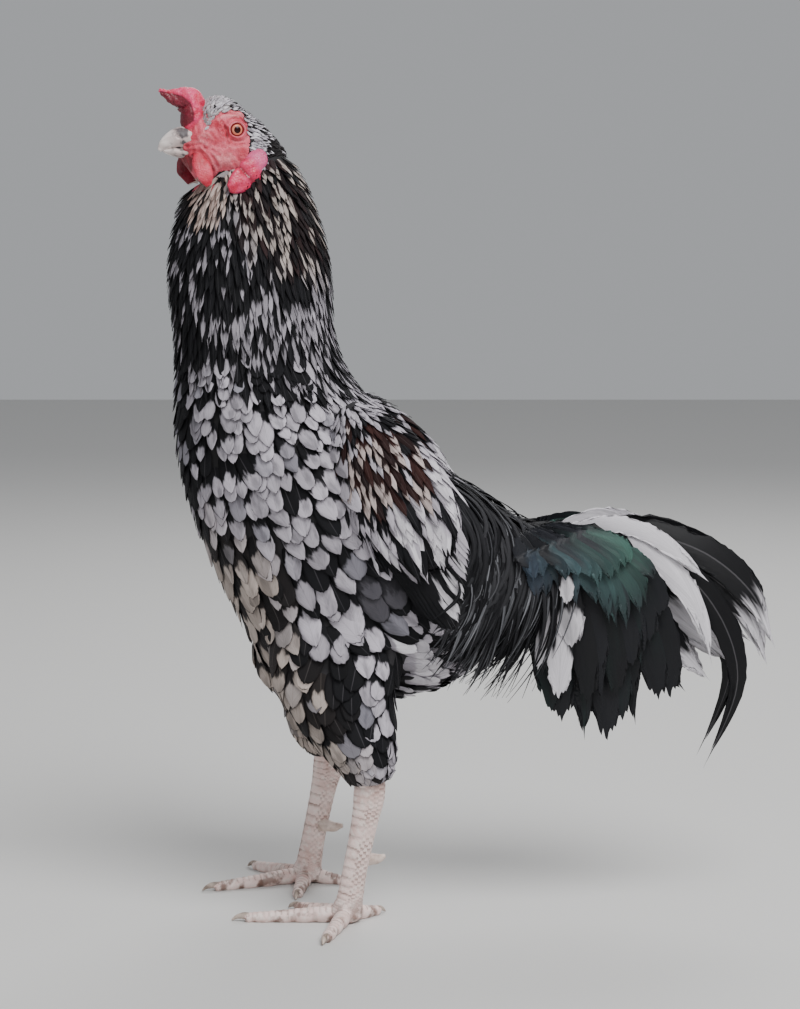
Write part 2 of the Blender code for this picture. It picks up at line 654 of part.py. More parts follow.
def make_legs(bird, cutters, body):
    """Feathered thighs, scaled shanks with a spur, feet, toes and claws."""
    made = {}
    for side, sign in SIDES.items():
        leg = LEGS[side]
        hock_x, hock_z = leg["hock"]
        ankle_x, ankle_z = leg["ankle"]
        y = sign * STANCE
        top_x = hock_x * 0.6 - 0.018
        thigh = piece(
            "thigh_" + side,
            [
                (top_x, sign * 0.034, 0.272, 0.040, 0.018),
                (top_x, sign * 0.042, 0.242, 0.054, 0.027),
                (top_x, sign * 0.047, 0.210, 0.055, 0.030),
                (top_x + 0.008, sign * 0.053, 0.178, 0.044, 0.029),
                (hock_x - 0.006, sign * 0.060, 0.146, 0.031, 0.025),
                (hock_x + 0.002, y, 0.120, 0.019, 0.0165),
            ],
            9, 12, "speckle", bird,
        )
        cut_clear(thigh, body, cutters)
        shank = piece(
            "shank_" + side,
            [
                (hock_x, y, hock_z + 0.010, SHANK_DEPTH * 0.45, SHANK_WIDTH * 0.45),
                (hock_x, y, hock_z - 0.006, SHANK_DEPTH * 0.60, SHANK_WIDTH * 0.56),
                (hock_x * 0.75 + ankle_x * 0.25, y, 0.085, SHANK_DEPTH * 0.50, SHANK_WIDTH * 0.50),
                (hock_x * 0.30 + ankle_x * 0.70, y, 0.048, SHANK_DEPTH * 0.46, SHANK_WIDTH * 0.47),
                (ankle_x, y, ankle_z, SHANK_DEPTH * 0.48, SHANK_WIDTH * 0.56),
            ],
            9, 10, "leg_scale", bird,
        )
        keep_side(shank, Vector((0, 0, ankle_z + 0.004)), Vector((0, 0, -1)))
        cut_clear(thigh, [shank], cutters)
        foot = piece(
            "foot_" + side,
            [
                (ankle_x + 0.001, y, ankle_z + 0.006, SHANK_DEPTH * 0.46, SHANK_WIDTH * 0.54),
                (ankle_x - 0.001, y, 0.0145, 0.0125, 0.0112),
                (ankle_x - 0.003, y, 0.0070, 0.0135, 0.0125),
                (ankle_x - 0.003, y, -0.002, 0.0105, 0.0100),
            ],
            6, 10, "leg_scale", bird,
        )
        keep_side(foot, Vector((0, 0, 0)), Vector((0, 0, -1)))
        keep_side(foot, Vector((0, 0, ankle_z + 0.004 - GAP)), Vector((0, 0, 1)))
        spur_z = 0.052
        spur_x = ankle_x + (hock_x - ankle_x) * (spur_z - ankle_z) / (hock_z - ankle_z)
        spur = piece(
            "spur_" + side,
            [
                (spur_x + 0.006, y - sign * 0.004, spur_z, 0.0055, 0.0050),
                (spur_x + 0.015, y - sign * 0.007, spur_z - 0.001, 0.0045, 0.0042),
                (spur_x + 0.023, y - sign * 0.010, spur_z + 0.001, 0.0022, 0.0020),
            ],
            5, 6, "horn", bird,
        )
        cut_clear(spur, [shank], cutters)
        made.update({"thigh_" + side: thigh, "shank_" + side: shank, "foot_" + side: foot})
        made["spur_" + side] = spur
        pad = Vector((ankle_x - 0.003, y, 0))
        for k, (length, yaw, claw_length) in enumerate(zip(TOE_LENGTHS, leg["toes"], CLAW_LENGTHS)):
            heading = math.radians(yaw) * sign
            ahead = Vector((-math.cos(heading), math.sin(heading), 0))
            if k == 3:
                ahead = Vector((-math.cos(heading), -math.sin(heading), 0))
            start = pad + ahead * 0.004
            rows = []
            for share, lift, radius in (
                (0.0, 0.0015, TOE_BASE),
                (0.3, 0.0004, TOE_BASE * 0.93),
                (0.65, 0.0, TOE_BASE * 0.78),
                (0.95, 0.0, TOE_END),
                (1.0, 0.0, TOE_END * 0.72),
            ):
                spot = start + ahead * (length * share)
                rows.append((spot.x, spot.y, radius - SOLE + lift, radius, radius))
            name = ("inner", "middle", "outer", "hind")[k]
            toe = piece(f"toe_{name}_{side}", rows, 6, 8, "leg_scale", bird)
            keep_side(toe, Vector((0, 0, 0)), Vector((0, 0, -1)))
            cut_clear(toe, [foot], cutters)
            tip = start + ahead * (length - 0.003)
            claw = piece(
                f"claw_{name}_{side}",
                [
                    (tip.x, tip.y, 0.0040, 0.0026, 0.0022),
                    (*(tip + ahead * claw_length * 0.5).xy, 0.0046, 0.0024, 0.0019),
                    (*(tip + ahead * claw_length).xy, 0.0014, 0.0007, 0.0006),
                ],
                5, 6, "horn", bird,
            )
            cut_clear(claw, [toe], cutters)
            made[toe.name], made[claw.name] = toe, claw
        toes = [made[f"toe_{n}_{side}"] for n in ("inner", "middle", "outer", "hind")]
        for i, toe in enumerate(toes):
            cut_clear(toe, toes[:i], cutters)
    return made


def tail_sheet(points, half_width, y, sign, root_y, steps=5):
    """A tail feather in its own upright sheet: its shaft is read from (x, z) points."""
    shaft, outward = [], []
    lean = Vector((0, sign, TENT)).normalized()
    for k in range(steps + 1):
        v = k / steps
        x, z = between(points, v)
        settle_in = min(v / 0.3, 1.0)
        shaft.append(Vector((x, sign * (root_y + (y - root_y) * settle_in), z)))
        outward.append(lean)
    return vane(shaft, outward, tapered(half_width, steps, 0.3))


def make_tail(tail, tree, cutters):
    """Tail feathers in sheets from the middle outwards: stiff ones, sickles, then long and short coverts."""
    rng = random.Random(7)
    strips = []
    for sign in SIDES.values():
        y = SHEET_STEP
        for i in range(RECTRICES):
            share = i / (RECTRICES - 1)
            tip_x, tip_z = between(RECTRIX_TIPS, share)
            root = (TAIL_ROOT.x, TAIL_ROOT.z + 0.012 - 0.024 * share)
            middle = ((root[0] + tip_x) / 2, (root[1] + tip_z) / 2 + 0.012)
            strips.append(tail_sheet([root, middle, (tip_x, tip_z)], RECTRIX_HALF, y, sign, y * ROOT_DRAW, 4))
            y += SHEET_STEP
        for points, half_width in SICKLES:
            strips.append(tail_sheet(points, half_width, y, sign, y * ROOT_DRAW, 7))
            y += SHEET_STEP
        for first, last, tips, count, half_width in TAIL_COVERTS:
            for i in range(count):
                share = i / (count - 1)
                root = [a + (b - a) * share for a, b in zip(first, last)]
                tip = between(tips, share)
                reach = tip[0] - root[0]
                bend = (root[0] + reach * 0.45, root[1] - 0.004 - 0.012 * share)
                hang = (root[0] + reach * 0.88, root[1] * 0.45 + tip[1] * 0.55)
                tip_z = tip[1] + rng.uniform(-0.003, 0.003)
                skin = surface_frame(tree, Vector((root[0], 0, root[1])), Vector((0, sign, 0)))[0]
                root_y = abs(skin.y) - ROOT_DEPTH
                points = [root, bend, hang, (tip[0], tip_z)]
                strips.append(tail_sheet(points, half_width, max(y, root_y), sign, root_y))
                y += SHEET_STEP * 0.8
    join_pieces(tail, strips, cutters)


def centre_on_floor(collection):
    """Slides the bird so that the origin lies under the middle of its box, at floor level."""
    corners = [v.co for obj in collection.objects for v in obj.data.vertices]
    low = Vector(min(c[i] for c in corners) for i in range(3))
    high = Vector(max(c[i] for c in corners) for i in range(3))
    shift = Matrix.Translation((-(low.x + high.x) / 2, -(low.y + high.y) / 2, -low.z))
    for obj in collection.objects:
        obj.data.transform(shift)


def main():
    clear_scene()
    bird = new_collection("aseel_cock")
    cutters = new_collection("cutters")
    nodes = make_trunk(bird)
    whole = tube(TRUNK_RINGS, TRUNK_SIDES, trunk_place)
    tree = BVHTree.FromBMesh(whole)
    whole.free()
    head, eyes = make_head(bird, cutters, nodes["neck"])
    make_face_parts(bird, cutters, head, nodes["neck"])
    body = [nodes["torso"], nodes["rump"]]
    make_wings(bird, cutters, [nodes["neck"], *body])
    make_legs(bird, cutters, body)
    make_hackles(nodes["neck"], cutters)
    make_saddle(nodes["rump"], tree, cutters)
    make_tail(nodes["tail"], tree, cutters)
    centre_on_floor(bird)
    for helper in list(cutters.objects):
        bpy.data.objects.remove(helper, do_unlink=True)


main()
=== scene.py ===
# %% [markdown]
# # Aseel cock, life size
# A tall game cock stands in profile with its head turned a little towards us. The measured solids are loaded
# as a fixed frame. Everything seen here is modelled over them: bare skin, horn, scaled legs and some thousands
# of feathers. The bird is described in a design frame whose origin is the floor between its feet.

# %% Frame and shared tables
import math

import bmesh
import bpy
import numpy as np
from mathutils import Matrix, Vector
from mathutils.bvhtree import BVHTree
from mathutils.kdtree import KDTree


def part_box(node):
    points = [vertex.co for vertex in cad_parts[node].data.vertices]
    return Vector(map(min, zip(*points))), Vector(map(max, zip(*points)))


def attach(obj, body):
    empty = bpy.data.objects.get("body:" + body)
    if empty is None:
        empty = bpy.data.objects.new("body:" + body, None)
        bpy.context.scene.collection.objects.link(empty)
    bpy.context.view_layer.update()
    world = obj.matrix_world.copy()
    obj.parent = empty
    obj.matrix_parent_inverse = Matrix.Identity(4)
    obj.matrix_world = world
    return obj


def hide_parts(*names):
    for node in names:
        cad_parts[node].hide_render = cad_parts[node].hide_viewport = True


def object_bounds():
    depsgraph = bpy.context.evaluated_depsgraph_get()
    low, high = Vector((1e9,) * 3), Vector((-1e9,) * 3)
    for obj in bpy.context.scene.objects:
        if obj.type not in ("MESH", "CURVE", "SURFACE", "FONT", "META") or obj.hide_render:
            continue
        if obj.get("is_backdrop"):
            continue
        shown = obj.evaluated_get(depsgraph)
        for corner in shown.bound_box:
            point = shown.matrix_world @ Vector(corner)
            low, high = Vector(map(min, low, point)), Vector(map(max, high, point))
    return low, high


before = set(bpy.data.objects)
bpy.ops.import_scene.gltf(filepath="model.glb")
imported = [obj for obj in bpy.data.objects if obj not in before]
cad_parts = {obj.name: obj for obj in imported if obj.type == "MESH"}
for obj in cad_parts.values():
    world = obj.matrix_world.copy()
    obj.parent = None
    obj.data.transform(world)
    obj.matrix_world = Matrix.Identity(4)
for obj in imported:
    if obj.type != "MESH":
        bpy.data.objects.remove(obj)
cad_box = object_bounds()

# Trunk sections from throat to tail root: back x, z, then front or belly x, z, then half width
TRUNK = np.array([
    (-0.0462, 0.6334, -0.127, 0.604, 0.026),
    (-0.0305, 0.606, -0.137, 0.586, 0.038),
    (-0.0150, 0.561, -0.145, 0.553, 0.048),
    (-0.010, 0.524, -0.146, 0.520, 0.054),
    (-0.008, 0.483, -0.142, 0.487, 0.060),
    (0.004, 0.450, -0.141, 0.454, 0.065),
    (0.024, 0.425, -0.142, 0.412, 0.071),
    (0.050, 0.402, -0.139, 0.378, 0.075),
    (0.075, 0.379, -0.129, 0.336, 0.077),
    (0.100, 0.359, -0.113, 0.294, 0.076),
    (0.121, 0.342, -0.090, 0.247, 0.073),
    (0.142, 0.331, -0.065, 0.202, 0.068),
    (0.156, 0.328, -0.015, 0.180, 0.061),
    (0.168, 0.327, 0.045, 0.178, 0.054),
    (0.180, 0.327, 0.088, 0.196, 0.045),
    (0.192, 0.326, 0.125, 0.232, 0.036),
    (0.206, 0.324, 0.160, 0.266, 0.026),
    (0.218, 0.318, 0.192, 0.286, 0.016),
])
ROWS = len(TRUNK) - 1
OVAL = 2.15  # how square the trunk's sections are, 2 for an ellipse
HEAD_TURN = math.radians(20)
HEAD_PIVOT = np.array([-0.085, 0.0, 0.0])
EYE_AT = np.array([-0.0936, 0.0128, 0.6505])
SIDES = {"left": -1, "right": 1}


def yawed(points, angle):
    """Points turned about the upright line through the head's pivot."""
    p = np.atleast_2d(np.asarray(points, float)) - HEAD_PIVOT
    c, s = math.cos(angle), math.sin(angle)
    out = np.stack([p[:, 0] * c - p[:, 1] * s, p[:, 0] * s + p[:, 1] * c, p[:, 2]], -1) + HEAD_PIVOT
    return out[0] if np.ndim(points) == 1 else out


def turned(points):
    """Points of the head after its turn towards the left side."""
    return yawed(points, HEAD_TURN)


def unturned(points):
    return yawed(points, -HEAD_TURN)


eye_low, eye_high = (np.array(v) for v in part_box("eye_left"))
SHIFT = (eye_low + eye_high) / 2 - turned(EYE_AT * (1, -1, 1))
print("design frame to part frame:", np.round(SHIFT * 1000, 2), "mm")


# %% [markdown]
# Nearly every form is a loft: a closed tube whose rings are read smoothly from a short table of sections. A
# handful of helpers read such tables, turn a bmesh into a mesh, and hand a finished piece to the frame.

# %% Helpers for surfaces and meshes
def read(table, t):
    """Catmull-Rom reading of table rows at places t from 0 to 1."""
    last = len(table) - 1
    t = np.clip(np.asarray(t, float), 0, 1) * last
    i = np.minimum(t.astype(int), last - 1)
    f = (t - i)[..., None]
    a, b, c, d = (table[np.clip(i + k, 0, last)] for k in (-1, 0, 1, 2))
    return b + 0.5 * f * (c - a + f * (2 * a - 5 * b + 4 * c - d + f * (3 * (b - c) + d - a)))


def rounded(value, power):
    """A sine or cosine made squarer, as in a superellipse."""
    return np.copysign(np.abs(value) ** (2 / power), value)


def unit(v):
    return v / np.maximum(np.linalg.norm(v, axis=-1, keepdims=True), 1e-9)


def step_up(value, low, high):
    """0 below low, 1 above high, and a soft rise between."""
    share = np.clip((value - low) / (high - low), 0, 1)
    return share * share * (3 - 2 * share)


def bell(value, centre, width):
    return np.exp(-(((value - centre) / width) ** 2))


def points_and_normals(bm):
    bm.normal_update()
    return (np.array([getattr(v, key) for v in bm.verts]) for key in ("co", "normal"))


def move_points(bm, points):
    for v, p in zip(bm.verts, points):
        v.co = p


def mesh_of(bm, name):
    """A mesh from a bmesh that is then done with."""
    mesh = bpy.data.meshes.new(name)
    bm.to_mesh(mesh)
    bm.free()
    return mesh


def set_attribute(mesh, name, values, kind="FLOAT", key="value"):
    mesh.attributes.new(name, kind, "POINT").data.foreach_set(key, np.ravel(values))


def linked_object(name, data):
    obj = bpy.data.objects.new(name, data)
    bpy.context.scene.collection.objects.link(obj)
    return obj


def object_from(name, mesh, finish):
    mesh.materials.append(finish.material)
    mesh.shade_smooth()
    return linked_object(name, mesh)


def finish_piece(obj, slot, *nodes):
    """Puts a finished piece in the part's frame and hides the measured parts it stands for."""
    obj.data.transform(Matrix.Translation(Vector(SHIFT)))
    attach(obj, "root")
    if nodes:
        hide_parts(*nodes)
    print(obj.name, len(obj.data.polygons), "faces")


# %% [markdown]
# A material is a tree of nodes. Here a finish wraps the tree and its shader, and a wire wraps a node's output
# so that sums of wires can be written like sums of numbers. That keeps each recipe as short as its idea.

# %% Helpers for materials
def srgb(r, g, b):
    """A colour given as it looks on screen, 0 to 255, as linear numbers."""
    return np.array([((v / 255 + 0.055) / 1.055) ** 2.4 if v > 10 else v / 255 / 12.92 for v in (r, g, b)])


def colour(c):
    return (*[float(v) for v in c], 1.0)


class Wire:
    """A node's output, which can be written in sums."""

    def __init__(self, finish, socket):
        self.finish, self.socket = finish, socket

    def maths(self, operation, *others):
        return self.finish.add("Math", (self, *others), operation=operation)

    def __add__(self, other):
        return self.maths("ADD", other)

    def __sub__(self, other):
        return self.maths("SUBTRACT", other)

    def __mul__(self, other):
        return self.maths("MULTIPLY", other)

    def __pow__(self, other):
        return self.maths("POWER", other)

    def __abs__(self):
        return self.maths("ABSOLUTE")

    def ease(self, low, high, to_low=0.0, to_high=1.0):
        """A soft step from to_low, where this is low, to to_high."""
        return self.finish.add("MapRange", (self, low, high, to_low, to_high), interpolation_type="SMOOTHSTEP")


class Finish:
    """A material with its shader, and short names for the nodes that feed it."""

    def __init__(self, name, roughness, **sockets):
        self.material = bpy.data.materials.new(name)
        self.material.use_nodes = True
        self.tree = self.material.node_tree
        self.shader = self.tree.nodes["Principled BSDF"]
        for key, value in {"Roughness": roughness, **sockets}.items():
            self.shader.inputs[key.replace("_", " ")].default_value = value
        print("finish", name, "roughness", roughness)

    def add(self, kind, values=(), out=0, **settings):
        """Adds a node; values go to its inputs by number or name. Gives one output, or all for out=None."""
        node = self.tree.nodes.new("ShaderNode" + kind)
        for key, value in settings.items():
            setattr(node, key, value)
        for i, value in values.items() if isinstance(values, dict) else enumerate(values):
            if isinstance(value, Wire):
                self.tree.links.new(value.socket, node.inputs[i])
            else:
                node.inputs[i].default_value = colour(value) if isinstance(value, np.ndarray) else value
        wires = [Wire(self, socket) for socket in node.outputs]
        return wires if out is None else wires[out]

    def place(self):
        """Object coordinates."""
        return self.add("TexCoord", out=3)

    def attribute(self, name, out=0):
        return self.add("Attribute", out=out, attribute_name=name)

    def noise(self, where, scale, detail=3.0):
        return self.add("TexNoise", {"Vector": where, "Scale": scale, "Detail": detail})

    def cells(self, where, scale):
        return self.add("TexVoronoi", {"Vector": where, "Scale": scale})

    def mix(self, factor, a, b, blend="MIX"):
        return self.add("Mix", {0: factor, 6: a, 7: b}, 2, data_type="RGBA", blend_type=blend)

    def shaded(self, tone, light):
        """A colour made lighter or darker by a number."""
        return self.mix(1.0, tone, self.add("CombineColor", (light, light, light)), "MULTIPLY")

    def feed(self, wire, socket="Base Color"):
        self.tree.links.new(wire.socket, self.shader.inputs[socket])

    def emboss(self, height, strength, distance):
        self.feed(self.add("Bump", {"Strength": strength, "Distance": distance, "Height": height}), "Normal")


# %% [markdown]
# A feather's vane is a row of barbs that leave the shaft at a slant. Each is a few hundred faces at most, so
# the pattern sits in the material: a base colour, a tip colour past a ragged boundary, or a stripe along the
# shaft. The numbers come with each feather as attributes, so that one material serves the whole coat.

# %% Feather material
BARBS = 260.0  # barbs along a feather, times two pi


def feather_finish(name, roughness, specular):
    f = Finish(name, roughness, Specular_IOR_Level=specular)
    u, v, _ = f.add("SeparateXYZ", [f.add("UVMap", uv_map="Feather")], None)
    base, tip = f.attribute("base_colour"), f.attribute("tip_colour")
    mark, _, _, softness = f.attribute("mark", None)
    boundary, stripe, seed = f.add("SeparateColor", [mark], None)
    across = abs(u - 0.5) * 2.0
    where = f.add("CombineXYZ", (u * 1.3, v, seed * 37.0))
    ragged = (f.noise(where, 2.8, 4.0) - 0.5) * 0.62
    past = v + ragged - across ** 2.0 * 0.16 - boundary
    clear_of_rim = (across + ragged * 1.5).ease(1.02, 0.90) * v.ease(1.0, 0.975)
    no_dark_rim = stripe.ease(-1.4, -1.6)
    at_tip = past.ease(softness * -1.0, softness) * clear_of_rim.maths("MAXIMUM", no_dark_rim)
    in_stripe = (across + ragged - stripe).ease(0.08, -0.08)
    smudge = f.noise(where, 1.7, 3.0).ease(0.42, 0.70, 0.0, 0.45)
    fill = f.mix(at_tip.maths("MAXIMUM", in_stripe), base, f.mix(smudge, tip, base))
    slant = v + across * 0.35
    barb = (slant * BARBS).maths("SINE")
    clump = f.noise(f.add("CombineXYZ", (slant, seed, 0.0)), 26.0, 2.0)
    toned = f.shaded(fill, barb * 0.05 + clump * 0.5 + 0.72)
    shaft = across.ease(0.06, 0.02, 0.0, 0.22)
    f.feed(f.mix(shaft, toned, f.mix(0.35, base, tip)))
    f.emboss(barb + clump * 3.0, 0.35, 0.0004)
    return f


plumage = feather_finish("plumage", 0.65, 0.14)
glossy = feather_finish("glossy_plumage", 0.40, 0.22)

BLACK, SOFT_BLACK, SLATE = srgb(19, 19, 22), srgb(34, 31, 32), srgb(64, 66, 74)
WHITE, LILAC, CREAM = srgb(220, 216, 222), srgb(184, 178, 187), srgb(200, 184, 168)
MAHOGANY, MAROON = srgb(54, 30, 27), srgb(52, 34, 34)
# Green, teal and steel blue: the tail's sheen, painted into the base colour of black feathers.
GREEN, TEAL, STEEL = srgb(26, 62, 54), srgb(74, 110, 100), srgb(64, 78, 92)


# %% [markdown]
# One flat form per kind of feather is made with mesh operators: a grid given thickness, then drawn in to the
# outline of that kind. Each feather of the coat is that form laid along a path on the body, root sunk in the
# skin and tip lifted clear of the feather below. The arrays are joined into one mesh for each region.

# %% Feather forms
def feather_form(columns, rows, outline, fray, notch, seed):
    """A closed flat feather: u across from -1 to 1, w along from 0 to 1, z the two faces."""
    rng = np.random.default_rng(seed)
    bm = bmesh.new()
    bmesh.ops.create_grid(bm, x_segments=columns, y_segments=rows, size=1)
    bmesh.ops.solidify(bm, geom=bm.faces[:], thickness=0.5)
    bmesh.ops.recalc_face_normals(bm, faces=bm.faces[:])
    bmesh.ops.triangulate(bm, faces=bm.faces[:])
    u, w, z = np.array([v.co for v in bm.verts]).T
    z = np.where(z > z.mean(), 1.0, 0.0)
    faces = np.array([[v.index for v in f.verts] for f in bm.faces])
    bm.free()
    column = np.round((u + 1) / 2 * columns).astype(int)
    line = np.round((w + 1) / 2 * rows).astype(int)
    w = 1 - (1 - (w + 1) / 2) ** 1.4
    rim = np.abs(u) > 0.95
    edge = rng.uniform(0, 1, (2, rows + 1))[(u > 0).astype(int), line]
    tips = rng.uniform(0, 1, columns + 1)[column]
    x = u * np.interp(w, *outline) * (1 - fray * edge * rim)
    y = w - 0.6 * notch * np.abs(u) * w - notch * tips * np.abs(u) ** 0.5 * step_up(w, 0.6, 1.0)
    return {"x": x, "y": np.clip(y, 0, 1), "z": z, "u": (u + 1) / 2, "w": w, "faces": faces}


def forms(columns, rows, outlines, fray, notch, seed):
    """A few forms of one kind, each with its own frayed edge."""
    made = [feather_form(columns, rows, line, fray, notch, seed + i) for i, line in enumerate(outlines)]
    print("feather forms:", [len(form["faces"]) for form in made], "faces")
    return made


# Outlines: shares along a feather, then its half-width there
ROUND = (0, 0.2, 0.45, 0.6, 0.75, 0.86, 0.94, 1), (0.45, 0.75, 0.97, 1, 0.98, 0.88, 0.70, 0.40)
EGG = (0, 0.25, 0.5, 0.7, 0.83, 0.93, 1), (0.5, 0.82, 1, 0.94, 0.74, 0.48, 0.22)
LANCE = (0, 0.25, 0.5, 0.7, 0.85, 0.95, 1), (0.6, 0.95, 1, 0.88, 0.62, 0.34, 0.10)
STRAND = (0, 0.3, 0.6, 0.8, 0.93, 1), (0.7, 1, 0.9, 0.62, 0.3, 0.08)
BLADE = (0, 0.15, 0.35, 0.6, 0.8, 0.9, 0.97, 1), (0.35, 0.62, 0.9, 1, 0.93, 0.74, 0.45, 0.16)
BLUNT = (0, 0.15, 0.4, 0.65, 0.85, 0.93, 1), (0.4, 0.66, 0.92, 1, 0.97, 0.88, 0.62)
SABRE = (0, 0.2, 0.45, 0.65, 0.8, 0.92, 1), (0.5, 0.8, 1, 0.92, 0.66, 0.34, 0.08)

BODY_FORMS = forms(6, 9, (ROUND, EGG, ROUND, EGG), 0.12, 0.045, 0)
LANCE_FORMS = forms(4, 8, [LANCE] * 3, 0.12, 0.08, 5)
STRAND_FORMS = forms(2, 15, [STRAND] * 3, 0.30, 0.04, 8)
SMALL_FORMS = forms(2, 4, [ROUND] * 2, 0.20, 0.12, 11)
BLADE_FORMS = forms(8, 30, [BLADE] * 3, 0.08, 0.04, 13)
RAGGED_FORMS = forms(12, 34, [BLADE] * 3, 0.26, 0.16, 16)
SABRE_FORMS = forms(10, 40, [SABRE] * 2, 0.14, 0.10, 19)
BLUNT_FORMS = forms(12, 34, [BLUNT] * 3, 0.20, 0.11, 21)


# %% Laying the feathers
def lay(forms, paths, outward, half, thick=0.0003, cup=0.12):
    """Lays a form along each path: paths and outward are (feather, step, xyz), half is (feather,)."""
    n, steps, _ = paths.shape
    pick = np.arange(n) % len(forms)
    laid = []
    count = 0
    tangent = unit(np.gradient(paths, axis=1))
    for k, form in enumerate(forms):
        ids = np.nonzero(pick == k)[0]
        if not len(ids):
            continue
        place = form["y"] * (steps - 1)
        i = np.minimum(place.astype(int), steps - 2)
        f = (place - i)[None, :, None]
        lines = (paths, tangent, outward)
        p, d, o = (line[ids][:, i] * (1 - f) + line[ids][:, i + 1] * f for line in lines)
        d, o = unit(d), unit(o)
        side = unit(np.cross(d, o))
        across, wide, m = form["x"][None, :], half[ids][:, None], len(form["x"])
        rise = form["z"][None, :] * thick - cup * np.abs(across) ** 2 * wide
        points = p + side * (across * wide)[..., None] + np.cross(side, d) * rise[..., None]
        faces = form["faces"][None] + (count + np.arange(len(ids)) * m)[:, None, None]
        uv = np.tile(np.stack([form["u"], form["w"]], -1), (len(ids), 1))
        laid.append((points.reshape(-1, 3), faces.reshape(-1, 3), uv, np.repeat(ids, m)))
        count += len(ids) * m
    return [np.concatenate(arrays) for arrays in zip(*laid)]


def coat_object(name, laid, base, tip, mark, roots_uv, finish, *nodes):
    """One mesh of many feathers, with their colours, local map and bake map."""
    verts, faces, uv, owner = laid
    mesh = bpy.data.meshes.new(name)
    mesh.vertices.add(len(verts))
    mesh.vertices.foreach_set("co", verts.ravel())
    mesh.loops.add(len(faces) * 3)
    mesh.loops.foreach_set("vertex_index", faces.ravel())
    mesh.polygons.add(len(faces))
    mesh.polygons.foreach_set("loop_start", np.arange(len(faces)) * 3)
    mesh.update(calc_edges=True)
    for key, values in (("base_colour", base), ("tip_colour", tip), ("mark", mark)):
        rgba = np.ones((len(verts), 4))
        rgba[:, : values.shape[1]] = values[owner]
        set_attribute(mesh, key, rgba, "FLOAT_COLOR", "color")
    low, high = roots_uv.min(0), roots_uv.max(0)
    rooted = 0.01 + (roots_uv - low) / np.maximum(high - low, 1e-6) * 0.975
    for key, flat in (("Feather", uv), ("OFBake", rooted[owner] + uv * 0.003)):
        mesh.uv_layers.new(name=key).data.foreach_set("uv", flat[faces.ravel()].ravel())
    mesh.validate()
    print(name, "triangles", len(faces), "feathers", len(base))
    finish_piece(object_from(name, mesh, finish), "plumage", *nodes)


# %% [markdown]
# Under the feathers the bird is one skin, from face to tail root, with the thighs and the folded wings' flesh
# grown into it. It lies inside the measured solids by the depth of the coat. The parts are lofted from the
# shared tables, voxel-remeshed into a single closed surface and smoothed, so that no seam shows where a wing
# or thigh leaves the trunk.

# %% The skin's parts and their union
COAT = 0.0042  # depth of the coat over the skin


def trunk_skin(t, angle):
    """The trunk's skin, inside its coat."""
    bx, bz, fx, fz, half = np.moveaxis(read(TRUNK, t), -1, 0)
    c, s = rounded(np.cos(angle), OVAL), rounded(np.sin(angle), OVAL)
    reach = np.hypot(bx - fx, bz - fz) / 2
    kept = (reach - COAT) / reach
    middle = np.stack([(bx + fx) / 2, 0 * bx, (bz + fz) / 2], -1)
    return middle + np.stack([(bx - fx) / 2 * c * kept, (half - COAT) * s, (bz - fz) / 2 * c * kept], -1)


def limb(rows):
    """A round-sectioned surface along rows of x, y, z, half size in its bend, half size across."""
    rows = np.array(rows, float)

    def surface(t, angle):
        t, angle = np.broadcast_arrays(np.asarray(t, float), np.asarray(angle, float))
        here = read(rows, t)
        ahead = unit(read(rows, t + 0.02)[..., :3] - read(rows, t - 0.02)[..., :3])
        across = unit(np.cross(np.cross(ahead, (0.0, 1.0, 0.0)), ahead))
        bend = unit(np.cross(across, ahead))
        out = bend * (here[..., 3] * np.cos(angle))[..., None]
        return here[..., :3] + out + across * (here[..., 4] * np.sin(angle))[..., None]

    return surface


def loft(surface, rings, sides):
    """A closed tube: a capped cylinder cut into rings, its points then set on the surface."""
    bm = bmesh.new()
    bmesh.ops.create_cone(bm, cap_ends=True, cap_tris=True, segments=sides, radius1=1, radius2=1, depth=1)
    upright = [e for e in bm.edges if abs(e.verts[0].co.z - e.verts[1].co.z) > 0.5]
    bmesh.ops.subdivide_edges(bm, edges=upright, cuts=rings - 2)
    xyz = np.array([v.co for v in bm.verts])
    t, angle = xyz[:, 2] + 0.5, np.arctan2(xyz[:, 1], xyz[:, 0])
    points = surface(t, angle)
    middles = (surface(t, 0 * t) + surface(t, 0 * t + math.pi)) / 2
    at_cap = np.hypot(xyz[:, 0], xyz[:, 1]) < 0.5
    points[at_cap] = middles[at_cap]
    move_points(bm, points)
    if bm.calc_volume(signed=True) < 0:
        bmesh.ops.reverse_faces(bm, faces=bm.faces[:])
    return bm


def apply_modifiers(obj):
    """Replaces an object's mesh by its evaluated one."""
    made = bpy.data.meshes.new_from_object(obj.evaluated_get(bpy.context.evaluated_depsgraph_get()))
    obj.modifiers.clear()
    obj.data = made


def one_skin(name, lofts, voxel, rounds):
    """Lofts joined, remeshed into one closed surface, and softened where they meet."""
    joined = bmesh.new()
    for bm in lofts:
        part = mesh_of(bm, name)
        joined.from_mesh(part)
        bpy.data.meshes.remove(part)
    obj = linked_object(name, mesh_of(joined, name))
    remesh = obj.modifiers.new("One skin", "REMESH")
    remesh.mode, remesh.voxel_size = "VOXEL", voxel
    soften = obj.modifiers.new("Soften joints", "SMOOTH")
    soften.factor, soften.iterations = 0.5, rounds
    apply_modifiers(obj)
    return obj


# %% [markdown]
# A bird's thigh is a muscle that tapers to the hock, and the folded wing a flat wedge held against the flank.
# Both are short tables of sections like the trunk's, mirrored for the other side, with each foot in its own
# place. They are joined to the trunk before the remesh, because a real skin has no edge where they begin.

